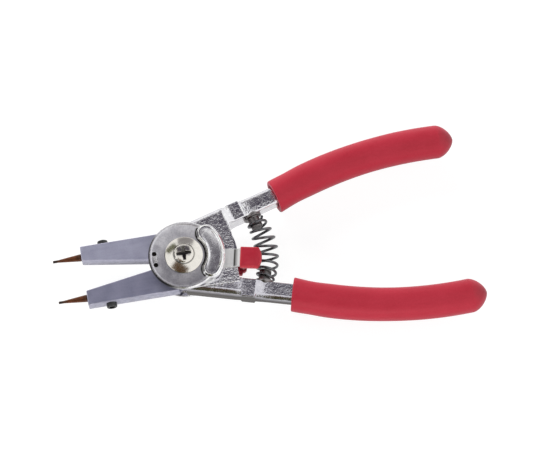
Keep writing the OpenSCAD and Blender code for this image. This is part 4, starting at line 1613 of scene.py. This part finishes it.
@dataclass
class Switch:
    """Two levers round the pivot, joined by a post, with a thumb cap in front and a small cap behind."""

    lean: float = -12.0
    orbit: float = 13.5
    window: float = 4.2
    rim: float = 2.0
    rim_round: float = 0.15
    rim_thinner: float = 0.02
    span: float = 38.0
    bore: float = 4.2
    tongue_root: float = 1.0
    tongue_width: float = 8.6
    tongue_bend: float = 22.9
    tongue_rise: float = 1.3
    tongue_lap: float = 6.0
    bend_round: float = 0.5
    tongue_edge: float = 0.2
    # Strength, place and width of the painted shade at the tongue's bend
    crease: tuple[float, float, float] = (1.2, 0.1, 0.3)
    cap_start: float = 25.6
    cap_length: float = 10.0
    cap_width: float = 9.9
    cap_wall: float = 1.05
    cap_round: float = 8.0
    cap_crown: float = 0.25
    cap_corner: float = 1.2
    cap_edge: float = 0.7
    link_radius: float = 1.2
    link_lap: float = 0.4
    link_round: float = 0.1
    rear_width: float = 5.0
    tang_width: float = 2.4
    tang_gap: float = 0.1
    tang_short: float = 0.5
    rear_edge: float = 0.12
    rear_cap_length: float = 4.6
    rear_cap_width: float = 6.4
    rear_cap_thick: float = 1.4
    rear_cap_edge: float = 0.3
    rear_cap_lap: float = 0.03
    boss_wall: float = 0.6
    boss_half_turn: float = 88.0
    boss_gap: float = 0.05
    shoulder_back: float = 0.2
    shoulder_round: float = 0.9

    @property
    def link_x(self) -> float:
        """Distance of the joining post from the pivot axis."""
        return self.cap_start + self.link_radius

    @property
    def root(self) -> float:
        """Distance of the tongues' roots from the pivot axis."""
        return self.orbit + self.window / 2 + self.tongue_root

    def ring(self, low: float, high: float) -> Solid:
        """Lever's hub ring and the band that frames the pins' window.

        Args:
            low: Height of the under face.
            high: Height of the upper face.

        Returns:
            The ring with its band.
        """
        inner = self.orbit - self.window / 2
        corners = [(self.bore, low), (inner, low), (inner, high), (self.bore, high)]
        hub = lathe(*fillet(corners, self.rim_round), 128, wrap=True)
        middle = (self.window + self.rim) / 2
        end = np.radians(self.span)
        centre = self.orbit * np.array([np.cos(end), np.sin(end)])
        first = arc(middle, -180 - self.span, -self.span, 24, centre * (1, -1))
        last = arc(middle, self.span, 180 + self.span, 24, centre)
        plan = np.concatenate([first, arc(self.orbit + middle, -self.span, self.span, 60)[1:-1], last])
        path = np.c_[plan, np.full(len(plan), (low + high) / 2)]
        tangent = unit(np.gradient(plan, axis=0))
        side = np.c_[tangent[:, 1], -tangent[:, 0], np.zeros(len(plan))]
        up = np.tile([0.0, 0.0, 1.0], (len(plan), 1))
        return hub + bar(path, side, up, self.rim, high - low - self.rim_thinner, self.rim_round)

    def tongue(self) -> Solid:
        """Flat tongue that bends up in front of the ear, with painted shade in a dark line at the bend, and
        runs into the thumb cap.

        Returns:
            The tongue.
        """
        z = (STACK.lever_low + STACK.lever_top) / 2
        lift = z + self.tongue_rise
        bend_end = self.tongue_bend + 2 * self.tongue_rise
        end = self.cap_start + self.tongue_lap
        corners = [(self.root, z), (self.tongue_bend, z), (bend_end, lift), (end, lift)]
        line, _ = fillet(corners, self.bend_round, closed=False, steps=6)
        zero = np.zeros(len(line))
        slope = unit(np.gradient(line, axis=0))
        up = np.c_[-slope[:, 1], zero, slope[:, 0]]
        side = np.tile([0.0, -1.0, 0.0], (len(line), 1))
        path = np.c_[line[:, 0], zero, line[:, 1]]
        tongue = bar(path, side, up, self.tongue_width, STACK.lever_thick, self.tongue_edge)
        x, _, height = tongue.points.T
        # Painted shade: a dark line across the upper side at the start of the bend
        strong, off, width = self.crease
        tongue.rim = tongue.rim - strong * bell(x, self.tongue_bend + off, width) * (height > z)
        return tongue

    def cap(self) -> Solid:
        """Thumb cap with a bowed end and a crowned top, and the post that reaches the rear lever.

        Returns:
            The cap with its post.
        """
        half, end = self.cap_width / 2, self.cap_start + self.cap_length
        bow = math.degrees(math.asin(half / self.cap_round))
        tail = arc(self.cap_round, -bow, bow, 24, (end - self.cap_round, 0))
        inwards = np.array([self.cap_corner, 0])
        corners = [tail[-1] - inwards, (self.cap_start, half), (self.cap_start, -half), tail[0] - inwards]
        outline = np.concatenate([tail, fillet(corners, self.bend_round, closed=False)[0]])
        z = STACK.lever_low + self.tongue_rise
        low, high = z - self.cap_wall, z + STACK.lever_thick + self.cap_wall
        body = plate(outline, low, high - self.cap_crown, self.cap_edge, crown=self.cap_crown, steps=5)
        r, rear, front = self.link_radius, -STACK.lever_top, low + self.link_lap
        corners = [(0, rear), (r, rear), (r, front), (0, front)]
        post = lathe(*fillet(corners, self.link_round, closed=False), 48)
        return body + post.placed(shift=(self.link_x, 0, 0))

    def rear_tongue(self) -> Solid:
        """Flat tongue of the rear lever, narrowed where it enters the rear cap.

        Returns:
            The tongue.
        """
        half, tang = self.rear_width / 2, self.tang_width / 2
        start, end = self.link_x - self.rear_cap_length - self.tang_gap, self.cap_start - self.tang_short
        right = [(self.root, -half), (start, -half), (start, -tang), (end, -tang)]
        left = [(x, -y) for x, y in reversed(right)]
        outline, _ = fillet(right + left, self.tongue_edge)
        return plate(outline, -STACK.lever_top, -STACK.lever_low, self.rear_edge)

    def rear_cap(self) -> Solid:
        """Small cap round the rear tongue's end, with a round boss for the post.

        Returns:
            The rear cap.
        """
        half, start = self.rear_cap_width / 2, self.link_x - self.rear_cap_length
        turn = self.boss_half_turn
        boss = arc(self.link_radius + self.boss_wall, -turn, turn, 24, (self.link_x, 0))
        left = [boss[-1] + (0, self.boss_gap), (self.link_x - self.shoulder_back, half), (start, half)]
        right = [(x, -y) for x, y in reversed(left)]
        shoulder, _ = fillet(left + right, self.shoulder_round, closed=False)
        low, high = -STACK.lever_top - self.rear_cap_thick, self.rear_cap_lap - STACK.lever_low
        return plate(np.concatenate([boss, shoulder]), low, high, self.rear_cap_edge, steps=4)

    def build(self) -> None:
        """Makes both levers and both caps at the angle that the photograph shows."""
        front = self.ring(STACK.lever_low, STACK.lever_top) + self.tongue()
        rear = self.ring(-STACK.lever_top, -STACK.lever_low) + self.rear_tongue()
        for name, solid, finish, node in (
            ("front_lever", front, LEVER_STEEL, "front_switch_lever"),
            ("rear_lever", rear, SATIN_NICKEL, "rear_switch_lever"),
            ("thumb_cap", self.cap(), CAP_PLASTIC, "switch_cap"),
            # Painted light: the rear cap takes the lighter copy of the cap plastic
            ("rear_thumb_cap", self.rear_cap(), LIT_REAR_CAP_PLASTIC, "switch_rear_cap"),
        ):
            make_piece(name, solid.placed(turn=self.lean), finish, "switch", [node])


def dress_cad_nodes() -> None:
    """Gives the CAD nodes that stay in view their material."""
    for node in ("upper_lock_pin", "lower_lock_pin"):
        piece = frame["nodes"][node]
        piece.data.materials.clear()
        piece.data.materials.append(BARE_STEEL.material())


# Studio


def facing(place: Sequence[float]) -> Matrix:
    """Turn and place of a thing at a place in metres whose -Z points at the origin."""
    spot = Vector(place)
    return Matrix.Translation(spot) @ spot.to_track_quat("Z", "Y").to_matrix().to_4x4()


def matt_sheet(
    name: str, corners: Sequence[Vector], shade: Colour
) -> tuple[bpy.types.Object, Sheet, bpy.types.Node]:
    """Makes a four-cornered sheet with a matt material.

    Args:
        name: Name of the object and its material.
        corners: Corners in order, in metres.
        shade: Its colour.

    Returns:
        The object, its material's sheet and the shader.
    """
    mesh = bpy.data.meshes.new(name)
    mesh.from_pydata([tuple(corner) for corner in corners], [], [(0, 1, 2, 3)])
    item = bpy.data.objects.new(name, mesh)
    bpy.context.scene.collection.objects.link(item)
    material = bpy.data.materials.new(name)
    material.use_nodes = True
    mesh.materials.append(material)
    sheet, shader = Sheet(material.node_tree), material.node_tree.nodes["Principled BSDF"]
    sheet.fill(shader, {"Base Color": (*shade, 1), "Roughness": 1.0, "Specular IOR Level": 0.0})
    return item, sheet, shader


def rectangle(width: float, height: float, z: float = 0.0) -> list[Vector]:
    """Corners of a level rectangle about the Z axis, in order."""
    w, h = width / 2, height / 2
    return [Vector(corner) for corner in ((-w, -h, z), (w, -h, z), (w, h, z), (-w, h, z))]


@dataclass(frozen=True)
class Lamp:
    """Round soft lamp that faces the pivot, with its place and diameter in metres."""

    name: str
    place: Sequence[float]
    size: float
    watts: float

    def build(self) -> None:
        """Makes the lamp, which reflections don't see."""
        data = bpy.data.lights.new(self.name, "AREA")
        data.shape, data.size, data.energy = "DISK", self.size, self.watts
        lamp = bpy.data.objects.new(self.name, data)
        lamp.matrix_world = facing(self.place)
        lamp.visible_glossy = False
        bpy.context.scene.collection.objects.link(lamp)


@dataclass(frozen=True)
class Card:
    """Card over the bench for the metal to reflect, with its place and size in metres."""

    name: str
    place: Sequence[float]
    size: tuple[float, float]
    shade: Colour

    def build(self) -> None:
        """Makes the card, which only reflections see."""
        corners = [facing(self.place) @ corner for corner in rectangle(*self.size)]
        card, _, _ = matt_sheet(self.name, corners, self.shade)
        card.visible_camera = card.visible_diffuse = card.visible_shadow = False


LAMPS = (
    Lamp("key_lamp", (-0.3, 1.05, 0.42), 0.9, 18.0),
    Lamp("fill_lamp", (0.9, -0.2, 0.5), 0.8, 3.0),
    Lamp("low_lamp", (-0.25, -0.95, 0.30), 0.8, 10.0),
)
CARDS = (
    Card("dark_card", (0.02, 0.3155, 0.602), (0.42, 0.345), (0.13, 0.115, 0.15)),
    Card("brown_card", (-0.16, -0.15, 0.63), (0.44, 0.30), (0.14, 0.085, 0.05)),
    Card("front_card", (-0.2265, -0.486, 0.45), (0.51, 0.71), (0.12, 0.11, 0.06)),
    Card("olive_card", (-0.28, 0.46, 0.50), (0.30, 0.20), (0.15, 0.15, 0.07)),
    Card("grey_card", (0.11, 0.61, 0.42), (0.40, 0.29), (0.45, 0.43, 0.45)),
    Card("side_card", (-0.52, 0.20, 0.15), (0.40, 0.44), (0.03, 0.03, 0.03)),
    Card("corner_card", (-0.45, -0.315, 0.17), (0.50, 0.36), (0.03, 0.03, 0.03)),
)


@dataclass
class Studio:
    """Pale floor, white surround, soft lamps, cards for the metal to reflect, and the camera."""

    image: tuple[int, int] = (540, 450)
    elevation: float = 69.0
    azimuth: float = -9.9
    distance: float = 900.0
    mm_per_pixel: float = 0.46
    pivot_pixel: tuple[float, float] = (184.7, 261.5)
    sensor: float = 36.0
    clip: tuple[float, float] = (0.01, 20)
    world_level: float = 0.2
    floor_size: float = 6.0
    floor_low: float = -0.0004
    floor_albedo: float = 0.25
    floor_glow: float = 0.87
    floor_sheen: float = 0.65

    def axes(self) -> tuple[Vector, Vector, Vector]:
        """Camera's right, up and back directions from its azimuth and elevation.

        Returns:
            The three directions.
        """
        a, e = math.radians(self.azimuth), math.radians(self.elevation)
        right = Vector((math.cos(a), math.sin(a), 0))
        back = Vector((math.sin(a) * math.cos(e), -math.cos(a) * math.cos(e), math.sin(e)))
        return right, back.cross(right), back

    def camera(self) -> None:
        """Places the camera so that the pivot falls on its pixel."""
        right, up, back = self.axes()
        across = (self.pivot_pixel[0] - self.image[0] / 2) * self.mm_per_pixel
        above = (self.image[1] / 2 - self.pivot_pixel[1]) * self.mm_per_pixel
        place = Vector((0, 0, MID)) - right * across - up * above + back * self.distance
        data = bpy.data.cameras.new("camera")
        data.sensor_width = self.sensor
        data.lens = self.distance / self.mm_per_pixel / self.image[0] * self.sensor
        data.clip_start, data.clip_end = self.clip
        camera = bpy.data.objects.new("camera", data)
        turn = Matrix((right, up, back)).transposed().to_4x4()
        camera.matrix_world = Matrix.Translation(place * MM) @ turn
        bpy.context.scene.collection.objects.link(camera)
        bpy.context.scene.camera = camera

    def world(self) -> None:
        """White surround for camera, glossy and transmission rays, at a plain level where it lights."""
        world = bpy.data.worlds.new("studio")
        bpy.context.scene.world = world
        world.use_nodes = True
        sheet = Sheet(world.node_tree)
        path = sheet.add("ShaderNodeLightPath").outputs
        seen = sheet.math("MAXIMUM", path["Is Camera Ray"], path["Is Glossy Ray"])
        seen = sheet.math("MAXIMUM", seen, path["Is Transmission Ray"])
        level = sheet.span(seen, 0.0, 1.0, self.world_level, 1.0)
        sheet.fill(world.node_tree.nodes["Background"], {"Strength": level, "Color": (1, 1, 1, 1)})

    def floor(self) -> None:
        """Pale floor under the flange that keeps a soft shadow and glows where it is seen."""
        corners = rectangle(self.floor_size, self.floor_size, self.floor_low)
        floor, sheet, shader = matt_sheet("floor", corners, (self.floor_albedo,) * 3)
        path = sheet.add("ShaderNodeLightPath").outputs
        clear = sheet.math("MAXIMUM", path["Is Camera Ray"], path["Is Transmission Ray"])
        glow = sheet.total(clear, self.floor_glow, path["Is Glossy Ray"], self.floor_sheen)
        sheet.fill(shader, {"Emission Color": (1, 1, 1, 1), "Emission Strength": glow})

    def build(self) -> None:
        """Sets the view, the surround, the floor, the lamps and the cards."""
        bpy.context.scene.view_settings.view_transform = "Standard"
        self.camera()
        self.world()
        self.floor()
        for item in LAMPS + CARDS:
            item.build()


def main() -> None:
    """Builds the pliers from the pivot outwards, then the studio."""
    logging.basicConfig(level=logging.INFO, format="%(name)s: %(message)s")
    Pivot().build()
    for front in (True, False):
        Cover(front).build()
    Switch().build()
    for side in Side:
        Handle(side).build()
        Jaw(side).build()
    ReturnSpring().build()
    dress_cad_nodes()
    Studio().build()


if __name__ == "__main__":
    main()
